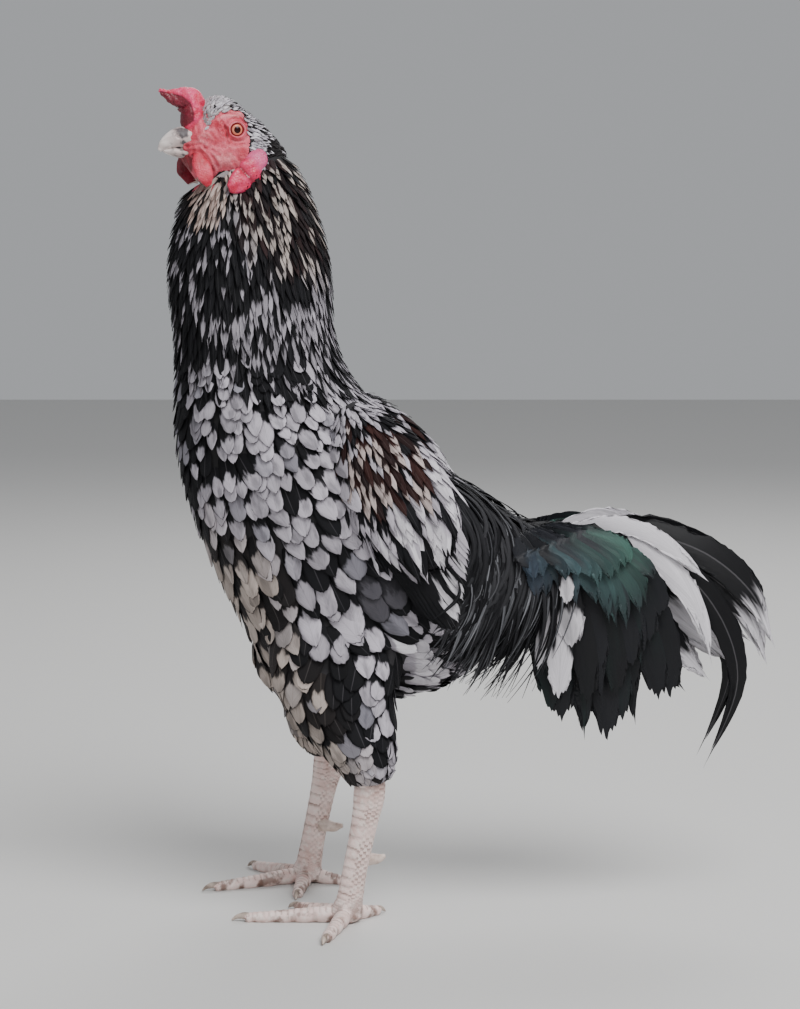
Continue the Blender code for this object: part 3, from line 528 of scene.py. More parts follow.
# %% Thighs, folded wings and the body's one skin
LEGS = {  # hock and ankle in x, z, and the toes' headings in degrees, outwards
    "left": {"hock": (0.0215, 0.118), "ankle": (0.0050, 0.020), "toes": (-38, 0, 76, 140)},
    "right": {"hock": (-0.0160, 0.114), "ankle": (-0.0330, 0.020), "toes": (-84, -21, 42, 165)},
}
STANCE = 0.0625  # from the middle to each shank
WING_FROM = np.array([-0.006, 0.0, 0.419])
WING_DOWN, WING_ACROSS = np.array([0.481, 0.0, -0.877]), np.array([0.877, 0.0, 0.481])
WING_CORE = [  # down, across, out, half-width, half-thickness
    (-0.004, 0.012, 0.064, 0.010, 0.007),
    (0.022, 0.013, 0.067, 0.026, 0.013),
    (0.055, 0.014, 0.072, 0.038, 0.014),
    (0.090, 0.015, 0.076, 0.042, 0.012),
    (0.120, 0.013, 0.077, 0.034, 0.010),
    (0.146, 0.010, 0.076, 0.018, 0.005),
]


def wing_point(down, across, y):
    """A place of the folded wing, measured down it, across it and out from the middle."""
    down, across, y = (np.asarray(v, float)[..., None] for v in (down, across, y))
    return WING_FROM + WING_DOWN * down + WING_ACROSS * across + np.array([0.0, 1.0, 0.0]) * y


def thigh_rows(side):
    """A thigh's sections inside its coat, from hip to hock."""
    sign, x = SIDES[side], LEGS[side]["hock"][0]
    top = x * 0.6 - 0.018
    rows = [
        (top, sign * 0.034, 0.272, 0.040, 0.018),
        (top, sign * 0.042, 0.242, 0.054, 0.027),
        (top, sign * 0.047, 0.210, 0.055, 0.030),
        (top + 0.008, sign * 0.053, 0.178, 0.044, 0.029),
        (x - 0.006, sign * 0.060, 0.146, 0.031, 0.025),
        (x + 0.002, sign * STANCE, 0.120, 0.019, 0.0165),
    ]
    return [(*row[:3], row[3] - COAT, row[4] - COAT) for row in rows]


def wing_rows(side):
    """The folded wing's sections, thinned by the small feathers over it."""
    sign = SIDES[side]
    return [(*wing_point(d, a, sign * (y - 0.001)), w - 0.001, t - 0.001) for d, a, y, w, t in WING_CORE]


limbs = {"thigh_" + side: limb(thigh_rows(side)) for side in SIDES}
limbs |= {"wing_" + side: limb(wing_rows(side)) for side in SIDES}
lofts = [loft(trunk_skin, 90, 64), *(loft(surface, 30, 32) for surface in limbs.values())]
body = one_skin("skin", lofts, 0.0028, 6)
print("body skin", len(body.data.polygons), "faces")


# %% [markdown]
# The face is bare, so the skin itself must carry its forms. The head is lofted finer than the body, and finer
# again round the eyes and the gape. Lids, brow, ear cup and the folds behind the gape are raised and sunk by
# distances measured in the side view, before the turn of the head. Then the head is united with the body.

# %% The bare face
HEAD = np.array([  # x, top, bottom, half-width
    (-0.0500, 0.6345, 0.622, 0.0080),
    (-0.0570, 0.6435, 0.608, 0.0145),
    (-0.0680, 0.6545, 0.600, 0.0188),
    (-0.0820, 0.6655, 0.598, 0.0207),
    (-0.0960, 0.6750, 0.600, 0.0208),
    (-0.1090, 0.6762, 0.603, 0.0190),
    (-0.1195, 0.668, 0.608, 0.0157),
    (-0.1288, 0.657, 0.617, 0.0120),
    (-0.1352, 0.6515, 0.628, 0.0078),
])
EAR_AT = np.array([-0.0774, 0.0212, 0.6385])
FOLDS = [  # points in x, z, then depth and width
    (((-0.1335, 0.6372), (-0.1235, 0.6385), (-0.1160, 0.6345), (-0.1085, 0.6300)), 0.0009, 0.0010),
    (((-0.1290, 0.6300), (-0.1215, 0.6262), (-0.1120, 0.6170)), 0.0008, 0.0009),
    (((-0.1150, 0.6590), (-0.1040, 0.6640), (-0.0920, 0.6630), (-0.0850, 0.6570)), 0.0008, 0.0009),
    (((-0.1060, 0.6420), (-0.0970, 0.6375), (-0.0880, 0.6385)), 0.0005, 0.0008),
    (((-0.1160, 0.6480), (-0.1100, 0.6410), (-0.1020, 0.6340), (-0.0930, 0.6330)), 0.0004, 0.0008),
    (((-0.0990, 0.6260), (-0.0940, 0.6200), (-0.0930, 0.6150)), 0.0007, 0.0009),
    (((-0.1010, 0.6350), (-0.0945, 0.6295), (-0.0895, 0.6235)), 0.0006, 0.0008),
    (((-0.1205, 0.6365), (-0.1140, 0.6290), (-0.1090, 0.6210)), 0.0007, 0.0009),
    (((-0.1065, 0.6570), (-0.1015, 0.6500), (-0.1025, 0.6420)), 0.0006, 0.0009),
    (((-0.1190, 0.6495), (-0.1125, 0.6470), (-0.1060, 0.6490)), 0.0006, 0.0008),
    (((-0.1230, 0.6440), (-0.1160, 0.6415), (-0.1100, 0.6380)), 0.0005, 0.0008),
]


def head_plain(t, angle):
    x, top, bottom, half = np.moveaxis(read(HEAD, t), -1, 0)
    c, s = rounded(np.cos(angle), 2.2), rounded(np.sin(angle), 2.2)
    return np.stack([x, half * s, (top + bottom) / 2 + (top - bottom) / 2 * c], -1)


def head_skin(t, angle):
    plain = head_plain(t, angle)
    return turned(plain.reshape(-1, 3)).reshape(plain.shape)


def line_distance(x, z, line):
    """Distance in the side view to a line through points."""
    best = np.full(len(x), 9.0)
    for (ax, az), (bx, bz) in zip(line[:-1], line[1:]):
        dx, dz = bx - ax, bz - az
        share = np.clip(((x - ax) * dx + (z - az) * dz) / (dx * dx + dz * dz), 0, 1)
        best = np.minimum(best, np.hypot(x - ax - share * dx, z - az - share * dz))
    return best


def face_relief(p):
    """How far the head's skin stands out or in at points before the turn."""
    x, z = p[:, 0], p[:, 2]
    out = np.zeros(len(p))
    ex, ez = x - EYE_AT[0], z - EYE_AT[2]
    r = np.hypot(ex, ez * 1.08)
    upper = step_up(ez, -0.004, 0.004)
    out -= 0.0009 * bell(r, 0.0098, 0.0020)
    out += (0.0009 + 0.0006 * upper) * bell(r, 0.0066, 0.0011)
    out -= 0.0065 * step_up(-r, -0.0060, -0.0048)
    out += 0.0004 * bell(r, 0.0118, 0.0006) + 0.0003 * bell(r, 0.0137, 0.0006) * (ex > 0)
    out += 0.0018 * bell(ez, 0.0115 - 6.0 * ex * ex, 0.0026) * bell(ex, -0.001, 0.0125)
    out += 0.0014 * bell(x, -0.104, 0.010) * bell(z, 0.626, 0.007)
    out += 0.0009 * bell(x, -0.121, 0.006) * bell(z, 0.645, 0.006)
    ear = np.hypot(x - EAR_AT[0], z - EAR_AT[2])
    out += 0.0012 * bell(ear, 0.0050, 0.0012) - 0.0022 * bell(ear, 0.0, 0.0034)
    for line, depth, width in FOLDS:
        d = line_distance(x, z, line)
        out += depth * (0.8 * bell(d, width * 2.2, width) - bell(d, 0, width))
    return out


# %% [markdown]
# The relief needs small faces to stand on, and most of all round the eye. So the loft is cut twice more there,
# then each point moves along its own normal by the relief and by a fine roughness of many crossing waves.

# %% The head's relief and its union with the body
head = loft(head_plain, 110, 120)
for reach in (0.014, 0.0095):
    near = [
        e for e in head.edges
        if math.hypot(e.verts[0].co.x - EYE_AT[0], e.verts[0].co.z - EYE_AT[2]) < reach
        and abs(e.verts[0].co.y) > 0.010
    ]
    bmesh.ops.subdivide_edges(head, edges=near, cuts=1, use_grid_fill=True)
bmesh.ops.triangulate(head, faces=head.faces[:])
plain, normals = points_and_normals(head)
rng = np.random.default_rng(3)
waves = [(rng.normal(size=3) * 420, rng.uniform(0, 6)) for _ in range(14)]
rough = sum(np.sin(plain @ k + phase) for k, phase in waves) * 0.00013
side_on = step_up(np.abs(normals[:, 1]), 0.15, 0.5)
raised = plain + normals * (face_relief(plain) * side_on + rough)[:, None]
move_points(head, turned(raised))
head_object = linked_object("head_form", mesh_of(head, "head_form"))
union = body.modifiers.new("Head", "BOOLEAN")
union.operation, union.solver, union.object = "UNION", "MANIFOLD", head_object
apply_modifiers(body)
bpy.data.objects.remove(head_object)
limbs["head"] = head_skin
print("skin", len(body.data.polygons), "faces")


# %% [markdown]
# Roots are spread over that skin as far apart as the feathers there are wide. From each root the feather's
# path walks over the skin with the lie of the plumage: down the neck, back along the body, down the thigh and
# along the folded wing. A long saddle hackle leaves the skin where it turns under, and hangs.

# %% Roots and paths on the skin
skin_tree = BVHTree.FromPolygons([v.co for v in body.data.vertices], [p.vertices for p in body.data.polygons])
SUNK = -0.0012  # height of a root over the skin


def nearest(points):
    """Nearest place on the skin, its normal and the signed distance to it."""
    place, normal = np.empty_like(points), np.empty_like(points)
    for i, p in enumerate(points):
        place[i], normal[i] = skin_tree.find_nearest(p)[:2]
    return place, normal, ((points - place) * normal).sum(-1)


def unwrap(surface, points, rings=160, sides=180):
    """Where points lie on a surface's own unwrap: share along it and angle round it."""
    around = np.linspace(-math.pi, math.pi, sides, endpoint=False)
    t, a = np.meshgrid(np.linspace(0, 1, rings), around, indexing="ij")
    t, a = t.ravel(), a.ravel()
    tree = KDTree(len(t))
    for i, p in enumerate(surface(t, a)):
        tree.insert(p, i)
    tree.balance()
    found = [tree.find(p)[1:] for p in points]
    index = np.array([f[0] for f in found])
    return t[index], a[index], np.array([f[1] for f in found])


def sample_skin(count, seed, above=0.0):
    """Points spread at random over the skin's faces, from a height up."""
    rng = np.random.default_rng(seed)
    mesh = body.data
    mesh.calc_loop_triangles()
    tris = np.empty(len(mesh.loop_triangles) * 3, int)
    mesh.loop_triangles.foreach_get("vertices", tris)
    xyz = np.empty(len(mesh.vertices) * 3)
    mesh.vertices.foreach_get("co", xyz)
    a, b, c = np.moveaxis(xyz.reshape(-1, 3)[tris.reshape(-1, 3)], 1, 0)
    area = np.linalg.norm(np.cross(b - a, c - a), axis=-1) * (a[:, 2] > above)
    pick = rng.choice(len(area), count, p=area / area.sum())
    r, s = rng.uniform(size=(2, count, 1))
    r, s = np.where(r + s > 1, 1 - r, r), np.where(r + s > 1, 1 - s, s)
    return a[pick] + r * (b[pick] - a[pick]) + s * (c[pick] - a[pick])


def spread(points, gaps):
    """Keeps points that lie at least their gap apart."""
    cell, grid, kept = gaps.max(), {}, []
    keys = np.floor(points / cell).astype(int)
    near_cells = [(i, j, k) for i in (-1, 0, 1) for j in (-1, 0, 1) for k in (-1, 0, 1)]
    for i, (x, y, z) in enumerate(keys):
        near = [j for dx, dy, dz in near_cells for j in grid.get((x + dx, y + dy, z + dz), ())]
        if near and (np.linalg.norm(points[near] - points[i], axis=1) < gaps[i]).any():
            continue
        grid.setdefault((x, y, z), []).append(i)
        kept.append(i)
    return np.array(kept)


# %% Walking a feather's path
def along(surface, t, angle):
    """The surface's own heading, from its first ring to its last."""
    return unit(surface(t + 0.01, angle) - surface(t - 0.01, angle))


def walk(start, heading, length, lift, steps=5, power=1.0, pull=0.0, hang=False):
    """Paths over the skin from roots under it to tips that stand off; pull turns them downwards."""
    n = len(start)
    length, lift = np.broadcast_to(length, n), np.broadcast_to(lift, n)
    paths, normals = np.empty((n, steps, 3)), np.empty((n, steps, 3))
    p, d = start.copy(), unit(heading)
    held = None
    for k in range(steps):
        _, normal, depth = nearest(p)
        held = normal if held is None else unit(held + normal)
        rise = SUNK + (lift - SUNK) * (k / (steps - 1)) ** power
        push = np.maximum(rise - depth, 0) if hang and k else rise - depth
        p = p + normal * push[:, None]
        paths[:, k], normals[:, k] = p, held
        inward = (d * normal).sum(-1, keepdims=True)
        free = (push < 1e-5)[:, None] if hang else np.zeros((n, 1), bool)
        d = unit(np.where(free, d, d - normal * inward) + np.array([0.0, 0.0, -pull / (steps - 1)]))
        p = p + d * (length / (steps - 1))[:, None]
    return paths, normals


# %% Where every possible root lies
roots = np.concatenate([sample_skin(100000, 1), sample_skin(30000, 2, 0.585)])
roots = roots[np.random.default_rng(3).permutation(len(roots))]
trunk_t, trunk_a, trunk_off = unwrap(trunk_skin, roots)
region = np.full(len(roots), "trunk", dtype="<U12")
limb_t, limb_a = np.zeros(len(roots)), np.zeros(len(roots))
best = trunk_off.copy()
for name, surface in limbs.items():
    t, a, off = unwrap(surface, roots, 90, 90)
    closer = (off < best - 0.0008) & ((t < 0.995) | (name == "head"))
    region[closer], best[closer] = name, off[closer]
    limb_t[closer], limb_a[closer] = t[closer], a[closer]
row = trunk_t * ROWS  # place along the trunk, counted in its sections from the throat
turn = np.degrees(np.abs(trunk_a))  # 0 along the back, 180 along the front and belly
print({name: int((region == name).sum()) for name in np.unique(region)})


# %% [markdown]
# The markings are set by where each feather's tip lies, seen square from the side, so both sides match. This
# cock is a speckled one: black feathers with pale ends on the breast, pale streaks in the cape, a mahogany wing
# bow with a white bar behind it, and a black tail with some white feathers and a green sheen painted on.

# %% Markings by place
CAMERA_AT = np.array([0.0464, -2.06, 0.576])
CAMERA_PITCH = math.radians(6.52)
PICTURE = (800, 1009)
FOCAL_PX, CENTRE_PX = 2474.0, (PICTURE[0] / 2, PICTURE[1] / 2)
NEVER = 2.0  # a boundary past the tip: the feather keeps its base colour
NO_STRIPE, NO_RIM = -1.0, -2.0  # no stripe along the shaft; nor a dark rim round the tip
PLACES = {  # ellipses of the picture: centre, half sizes, tilt in degrees
    "breast": ((280, 465), (84, 125), 0),
    "neck foot": ((250, 362), (28, 36), 0),
    "above wing": ((335, 412), (54, 36), 0),
    "bluish breast": ((275, 455), (40, 34), 0),
    "thigh oval": ((422, 668), (24, 28), 0),
    "slate flank": ((372, 606), (20, 28), 0),
    "pale flank": ((425, 618), (52, 30), 0),
    "ring round oval": ((422, 670), (38, 36), 0),
    "dark neck foot": ((282, 378), (34, 22), 0),
    "wing bow": ((388, 478), (64, 50), 10),
    "shoulder": ((350, 412), (46, 32), 0),
    "rear bar": ((450, 490), (18, 46), -10),
    "middle bar": ((428, 546), (36, 28), 0),
    "lower bar": ((377, 568), (24, 15), 0),
    "nape": ((285, 205), (62, 95), -20),
    "dark throat": ((226, 282), (34, 34), 0),
    "upper neck": ((212, 236), (38, 50), 0),
    "front of cape": ((236, 352), (32, 46), 0),
    "mantle": ((318, 372), (20, 42), 0),
    "collar": ((295, 325), (66, 34), 0),
    "behind ear": ((272, 165), (30, 34), 0),
    "bib": ((220, 180), (17, 20), 25),
    "throat": ((209, 186), (20, 30), 8),
}


print(len(PLACES), "places in a picture of", PICTURE, "pixels")


def seen(points):
    """Picture columns and rows of points, each first mirrored to the near side."""
    d = points * (1, 0, 1) - np.abs(points) * (0, 1, 0) - CAMERA_AT
    c, s = math.cos(CAMERA_PITCH), math.sin(CAMERA_PITCH)
    depth = d[:, 1] * c - d[:, 2] * s
    up = d[:, 1] * s + d[:, 2] * c
    return CENTRE_PX[0] + FOCAL_PX * d[:, 0] / depth, CENTRE_PX[1] - FOCAL_PX * up / depth


def seen_loosely(points, rng, spread_px):
    """As seen, but each place strays a few pixels, so that no marking has a sharp edge."""
    x, y = seen(points)
    return x + rng.normal(0, spread_px, len(x)), y + rng.normal(0, spread_px, len(x))


def patch(x, y, name):
    """1 inside an ellipse of the picture, falling to 0 at its edge and beyond."""
    at, size, tilt = PLACES[name]
    c, s = math.cos(math.radians(tilt)), math.sin(math.radians(tilt))
    dx, dy = x - at[0], y - at[1]
    r = np.hypot((dx * c + dy * s) / size[0], (-dx * s + dy * c) / size[1])
    return np.clip((1.0 - r) * 3, 0, 1)


def between(a, b, share):
    return a + (b - a) * share[:, None]


def vary(rng, tone, amount=0.16):
    return tone * rng.uniform(1 - amount, 1 + amount, (len(tone), 1))


def cloud(x, y, size, seed):
    """A smooth random field of the side view, about 0 to 1, with patches of a size in columns."""
    rng = np.random.default_rng(seed)
    angle, phase = rng.uniform(0, math.tau, (2, 9))
    waves = [np.sin((x * math.cos(a) + y * math.sin(a)) * math.pi / size + p) for a, p in zip(angle, phase)]
    return np.clip(0.5 + sum(waves) / 9 * 1.1, 0, 1)


def mark_of(edge, stripe, rng, softness=0.05):
    """What the feather material reads: boundary, stripe, seed and the boundary's softness."""
    return np.stack([edge, stripe, rng.uniform(size=len(edge)), np.broadcast_to(softness, edge.shape)], -1)


# %% [markdown]
# Each rule starts from a plain dark feather. It raises or lowers the chance of a pale end by place, then lets a
# random draw decide for every feather, as the real pattern is never quite regular.

# %% Markings of the breast, belly and thighs
def markings(points, rng):
    """Base and tip colour, place of the boundary and half-width of the shaft stripe for each root."""
    n = len(points)
    x, y = seen_loosely(points, rng, 6)
    base, tip = np.tile(BLACK, (n, 1)), np.tile(LILAC, (n, 1))
    chance = 0.46 + 0.58 * cloud(x, y, 26, 5) + 0.40 * patch(x, y, "breast")
    chance = np.maximum(chance, 0.9 * patch(x, y, "neck foot"))
    # Fewer pale ends towards the breast's front edge: a painted shade.
    chance *= np.interp(x, (182, 214), (0.42, 1.0))
    chance = np.maximum(chance, 0.95 * patch(x, y, "above wing"))
    belly = np.clip((y - 515) / 60, 0, 1) * np.clip((262 + 0.45 * (y - 520) - x) / 30, 0, 1)
    tip = between(tip, CREAM * 0.82, 0.75 * belly)
    base = between(base, srgb(58, 52, 50), 0.7 * belly * rng.uniform(0, 1, n))
    chance = np.maximum(chance, 0.85 * belly)
    # The pale ends there also turn grey towards the front edge: painted shade as well.
    tip = between(tip, SLATE * 1.6, 0.6 * np.clip((205 - x) / 20, 0, 1))
    edge = rng.uniform(0.34, 0.64, n)
    stripe = np.full(n, NO_STRIPE)
    bluish = rng.uniform(size=n) < 0.09 + 0.25 * patch(x, y, "bluish breast")
    tip = between(tip, SLATE * 2.0, bluish * rng.uniform(0.2, 0.7, n))
    oval = rng.uniform(size=n) < patch(x, y, "thigh oval") * 1.8
    base[oval], tip[oval] = LILAC * 0.8, WHITE * 0.95
    slate = rng.uniform(size=n) < patch(x, y, "slate flank") * 1.2
    base[slate], tip[slate] = srgb(44, 43, 47), srgb(84, 82, 88)
    chance = np.where(patch(x, y, "pale flank") > 0.2, 0.85, chance)
    chance = np.where(y > 715, 0.35, chance)
    chance = np.where(y > 744, 0.90, chance)
    chance = np.where(patch(x, y, "ring round oval") > 0.1, 0.25, chance)
    chance = np.where(patch(x, y, "dark neck foot") > 0.2, 0.05, chance)
    chance = np.where((x > 440) & (y < 590), 0.04, chance)
    plain = rng.uniform(size=n) > chance
    edge[plain & ~oval] = NEVER
    return vary(rng, base, 0.3), vary(rng, tip, 0.22), edge, stripe


# %% Markings of the wing and the cape
def wing_markings(points, rng):
    """Mahogany and cream in rows on the bow, a white bar, black below."""
    n = len(points)
    x, y = seen_loosely(points, rng, 4)
    base, tip = np.tile(BLACK, (n, 1)), np.tile(LILAC, (n, 1))
    bow = patch(x, y, "wing bow")
    brown = rng.uniform(size=n) < bow * 0.9
    base[brown] = between(MAHOGANY, BLACK, rng.uniform(0.0, 0.8, n))[brown]
    tip[brown] = srgb(190, 175, 171)
    rows = np.maximum(bell(y, 456 + 0.06 * (x - 335), 10), bell(y, 503, 10))
    chance = np.where(brown, 0.08 + 0.88 * rows, 0.60)
    shoulder = patch(x, y, "shoulder")
    chance = np.maximum(chance, 0.95 * shoulder)
    bar = np.maximum(0.95 * patch(x, y, "rear bar"), 0.72 * patch(x, y, "middle bar"))
    bar = np.maximum(bar, 0.85 * patch(x, y, "lower bar"))
    white = rng.uniform(size=n) < bar
    base[white], tip[white] = LILAC * 0.9, WHITE * 0.95
    chance = np.where(y > 560, 0.12, chance)
    edge = np.where(brown, rng.uniform(0.46, 0.70, n), rng.uniform(0.50, 0.74, n))
    edge = np.where(rng.uniform(size=n) < 1.3 * shoulder, rng.uniform(0.05, 0.40, n), edge)
    edge[(rng.uniform(size=n) > chance) & ~white] = NEVER
    stripe = np.where((rng.uniform(size=n) < 0.3) & (edge < 1), 0.3, NO_STRIPE)
    return vary(rng, base, 0.3), vary(rng, tip), edge, stripe


def hackle_markings(points, rng):
    """Pale shafts and ends in drifts down the cape, brownish on the nape, with a cream bib."""
    n = len(points)
    x, y = seen_loosely(points, rng, 4)
    base, tip = np.tile(BLACK, (n, 1)), between(LILAC * 0.50, LILAC * 0.90, rng.uniform(0, 1, n))
    nape = patch(x, y, "nape")
    base = between(base, MAROON, 0.8 * nape * rng.uniform(0, 1, n) ** 1.5)
    tip = between(tip, CREAM * 0.82, 0.6 * nape)
    flecks = 0.5 * cloud(x, y, 13, 8) + 0.5 * cloud(x, y, 26, 4)
    chance = 0.12 + 0.70 * step_up(flecks, 0.42, 0.62)
    chance *= 1 - 0.85 * patch(x, y, "dark throat")
    # Half as many pale streaks at the neck's front edge: a painted shade.
    chance = np.where(x < 190, chance * 0.5, chance)
    chance = np.maximum(chance, patch(x, y, "upper neck") * (0.30 + 0.6 * flecks))
    chance = np.maximum(chance, patch(x, y, "front of cape") * (0.40 + 0.65 * flecks))
    chance = np.maximum(chance, 0.8 * patch(x, y, "mantle"))
    chance = np.maximum(chance, 0.95 * patch(x, y, "collar") * (0.35 + 0.65 * flecks))
    chance = np.maximum(chance, 0.45 * patch(x, y, "behind ear"))
    streaked = rng.uniform(size=n) < chance
    edge = np.where(streaked, rng.uniform(0.46, 0.84, n), NEVER)
    stripe = np.where(streaked & (rng.uniform(size=n) < 0.45), rng.uniform(0.1, 0.4, n), NO_STRIPE)
    bib = patch(x, y, "bib") > rng.uniform(0.15, 0.5, n)
    base[bib], edge[bib], stripe[bib] = CREAM * 0.62, 0.3, NO_STRIPE
    return vary(rng, base, 0.3), vary(rng, tip), edge, stripe


# %% [markdown]
# The coat itself, region by region. On the neck the feathers are narrow and pointed and fall as a cape. On the
# breast, belly and thighs they are short and rounded. Each region is one mesh, and left and right are apart.

# %% Cape, breast, thighs and back
def side_roots(chosen, gaps, sign):
    """Indices of the roots of one side of a region, thinned to their gaps."""
    ids = np.nonzero(chosen & (roots[:, 1] * sign >= 0))[0]
    return ids[spread(roots[ids], gaps[ids])]


def lie_of(ids):
    """Which way the plumage lies at each root: back along the body, and back from the beak on the head."""
    heading = along(trunk_skin, trunk_t[ids], trunk_a[ids])
    for name, surface in limbs.items():
        here = ids[region[ids] == name]
        if len(here):
            ahead = along(surface, limb_t[here], limb_a[here])
            heading[region[ids] == name] = -ahead if name == "head" else ahead
    return heading


def unwrapped(ids):
    return np.stack([trunk_a[ids], trunk_t[ids]], -1)


def coat(name, chosen, gaps, forms, length, half, lift, seed, marks=markings, loose=0.07, **how):
    """Lays the feathers of one region, each side as one piece.

    For each root there is a gap to the next, a length and a half-width, all in metres. The lift is how far the
    tips stand off the skin, loose is how much their headings stray, and how goes on to walk().
    """
    for side, sign in SIDES.items():
        ids = side_roots(chosen, gaps, sign)
        rng = np.random.default_rng(seed)
        heading = lie_of(ids)
        heading = unit(heading + rng.normal(0, loose, heading.shape))
        size = rng.uniform(0.82, 1.18, len(ids))
        paths, normals = walk(roots[ids], heading, length[ids] * size, lift, **how)
        base, tip, edge, stripe = marks(paths[:, -2], rng)
        laid = lay(forms, paths, normals, half[ids] * size)
        mark = mark_of(edge, stripe, rng, 0.07)
        coat_object(f"{name}_{side}", laid, base, tip, mark, unwrapped(ids), plumage)


share = np.clip(row / 5.0, 0, 1)
front = np.clip((turn - 120) / 40, 0, 1)
on_trunk = region == "trunk"
every = np.ones(len(roots))
at_x, at_y = seen(roots)
throat_area = (patch(at_x, at_y, "throat") > 0.15) & (on_trunk | (region == "head")) & (roots[:, 2] < 0.622)
neck_area = on_trunk & (row < 4.6) & ~throat_area
coat(
    "cape", neck_area, 0.0036 + 0.0020 * share, LANCE_FORMS,
    (0.018 + 0.022 * np.clip(row / 2.5, 0, 1)) * (1 - 0.30 * front), 0.0026 + 0.0014 * share,
    0.0052, 21, hackle_markings, steps=6,
)
size = np.interp(row, (4.0, 6.5, 9.0, 10.5, 12.2), (0.72, 0.90, 1.15, 1.20, 0.66))
breast_area = on_trunk & (row >= 4.1) & (turn > 60) & (row < 13.6)
coat("breast", breast_area, 0.0104 * size, BODY_FORMS, 0.036 * size, 0.0084 * size, 0.0052, 22, loose=0.13)
back_area = on_trunk & (row >= 4.1) & (turn <= 60) & (row < 10.5)
coat("back", back_area, 0.0068 * every, LANCE_FORMS, 0.034 * every, 0.0050 * every, 0.0048, 23)
thigh_area = np.char.startswith(region, "thigh")
narrow = np.clip((limb_t - 0.55) / 0.45, 0, 1)
coat(
    "thigh_feathers", thigh_area, 0.0116 - 0.0066 * narrow, BODY_FORMS,
    0.038 - 0.020 * narrow, 0.0094 - 0.0052 * narrow, 0.0046, 24, loose=0.13,
)
vent_area = on_trunk & (((row >= 13.2) & (turn > 80)) | ((row > 16.2) & (turn > 50)))
coat(
    "vent", vent_area, 0.0058 * every, BODY_FORMS,
    0.025 * every, 0.0064 * every, 0.0076, 25, pull=1.6, loose=0.3,
)


# %% [markdown]
# The folded wing shows its bow of small feathers, then longer coverts in tiers, and the flight feathers'
# edges below. The flight feathers are stiff blades, which fan from the wrist and slide over one another.

# %% Wings
FLIGHTS = 18
FLIGHT_Y = (0.0785, 0.0715)  # how far out each lies, at its root and at its tip
# Roots of the first and last, then points through the tips, measured down and across the wing
FLIGHT_ROOTS = np.array([(0.088, -0.022), (0.066, 0.028)])
FLIGHT_TIPS = np.array([(0.187, -0.010), (0.199, 0.001), (0.182, 0.018), (0.164, 0.032), (0.146, 0.044)])

wing_area = np.char.startswith(region, "wing")
wing_down = (roots - WING_FROM) @ WING_DOWN
places = (0.004, 0.02, 0.05, 0.10)  # distances down the wing
coat(
    "wing_bow", wing_area & (wing_down < 0.106),
    np.interp(wing_down, places, (0.0026, 0.0038, 0.0046, 0.0058)), LANCE_FORMS,
    np.minimum(np.interp(wing_down, places, (0.016, 0.024, 0.033, 0.048)), 0.152 - wing_down),
    np.interp(wing_down, places, (0.0024, 0.0029, 0.0037, 0.0052)),
    0.0038, 31, wing_markings, steps=7, hang=True, pull=0.25,
)
covered = neck_area | throat_area | breast_area | back_area | thigh_area | vent_area | wing_area
covered |= region == "head"
coat("under", ~covered, 0.0075 * every, BODY_FORMS, 0.026 * every, 0.0064 * every, 0.0030, 26)


# %% Flight feathers, one sheet on each side
for side, sign in SIDES.items():
    rng = np.random.default_rng(32)
    share = np.linspace(0, 1, FLIGHTS)
    steps = np.linspace(0, 1, 12)
    root = FLIGHT_ROOTS[0] + (FLIGHT_ROOTS[1] - FLIGHT_ROOTS[0]) * share[:, None]
    tip = read(FLIGHT_TIPS, share)
    flat = root[:, None] + (tip - root)[:, None] * steps[None, :, None]
    sunk = 0.011 * share[:, None] * (1 - steps[None])
    y = FLIGHT_Y[0] + (FLIGHT_Y[1] - FLIGHT_Y[0]) * steps[None] + 0.00056 * np.arange(FLIGHTS)[:, None] - sunk
    paths = wing_point(flat[..., 0], flat[..., 1] + 0.004 * np.sin(math.pi * steps)[None], sign * y)
    out = np.zeros_like(paths)
    out[..., 1] = sign
    laid = lay(BLADE_FORMS, paths, out, np.interp(share, (0.4, 0.9), (0.0082, 0.0036)), 0.0004, 0.08)
    pale = (share > 0.70) & (rng.uniform(size=FLIGHTS) < 0.62)
    base = vary(rng, np.where(pale[:, None], LILAC, BLACK))
    tip_tone = np.where(pale[:, None], BLACK, WHITE * 0.95)
    edge = np.where((share > 0.3) & (np.arange(FLIGHTS) % 3 < 2), rng.uniform(0.66, 0.86, FLIGHTS), NEVER)
    edge[pale] = NEVER
    mark = mark_of(edge, np.full(FLIGHTS, NO_RIM), rng)
    coat_object("flights_" + side, laid, base, tip_tone, mark, root + 0.02 * tip, plumage, "wing_" + side)


# %% [markdown]
# Saddle hackles rise along the rump's ridge and stream down over its sides, long, narrow and glossy. Their
# ends hang free in front of the tail's coverts.

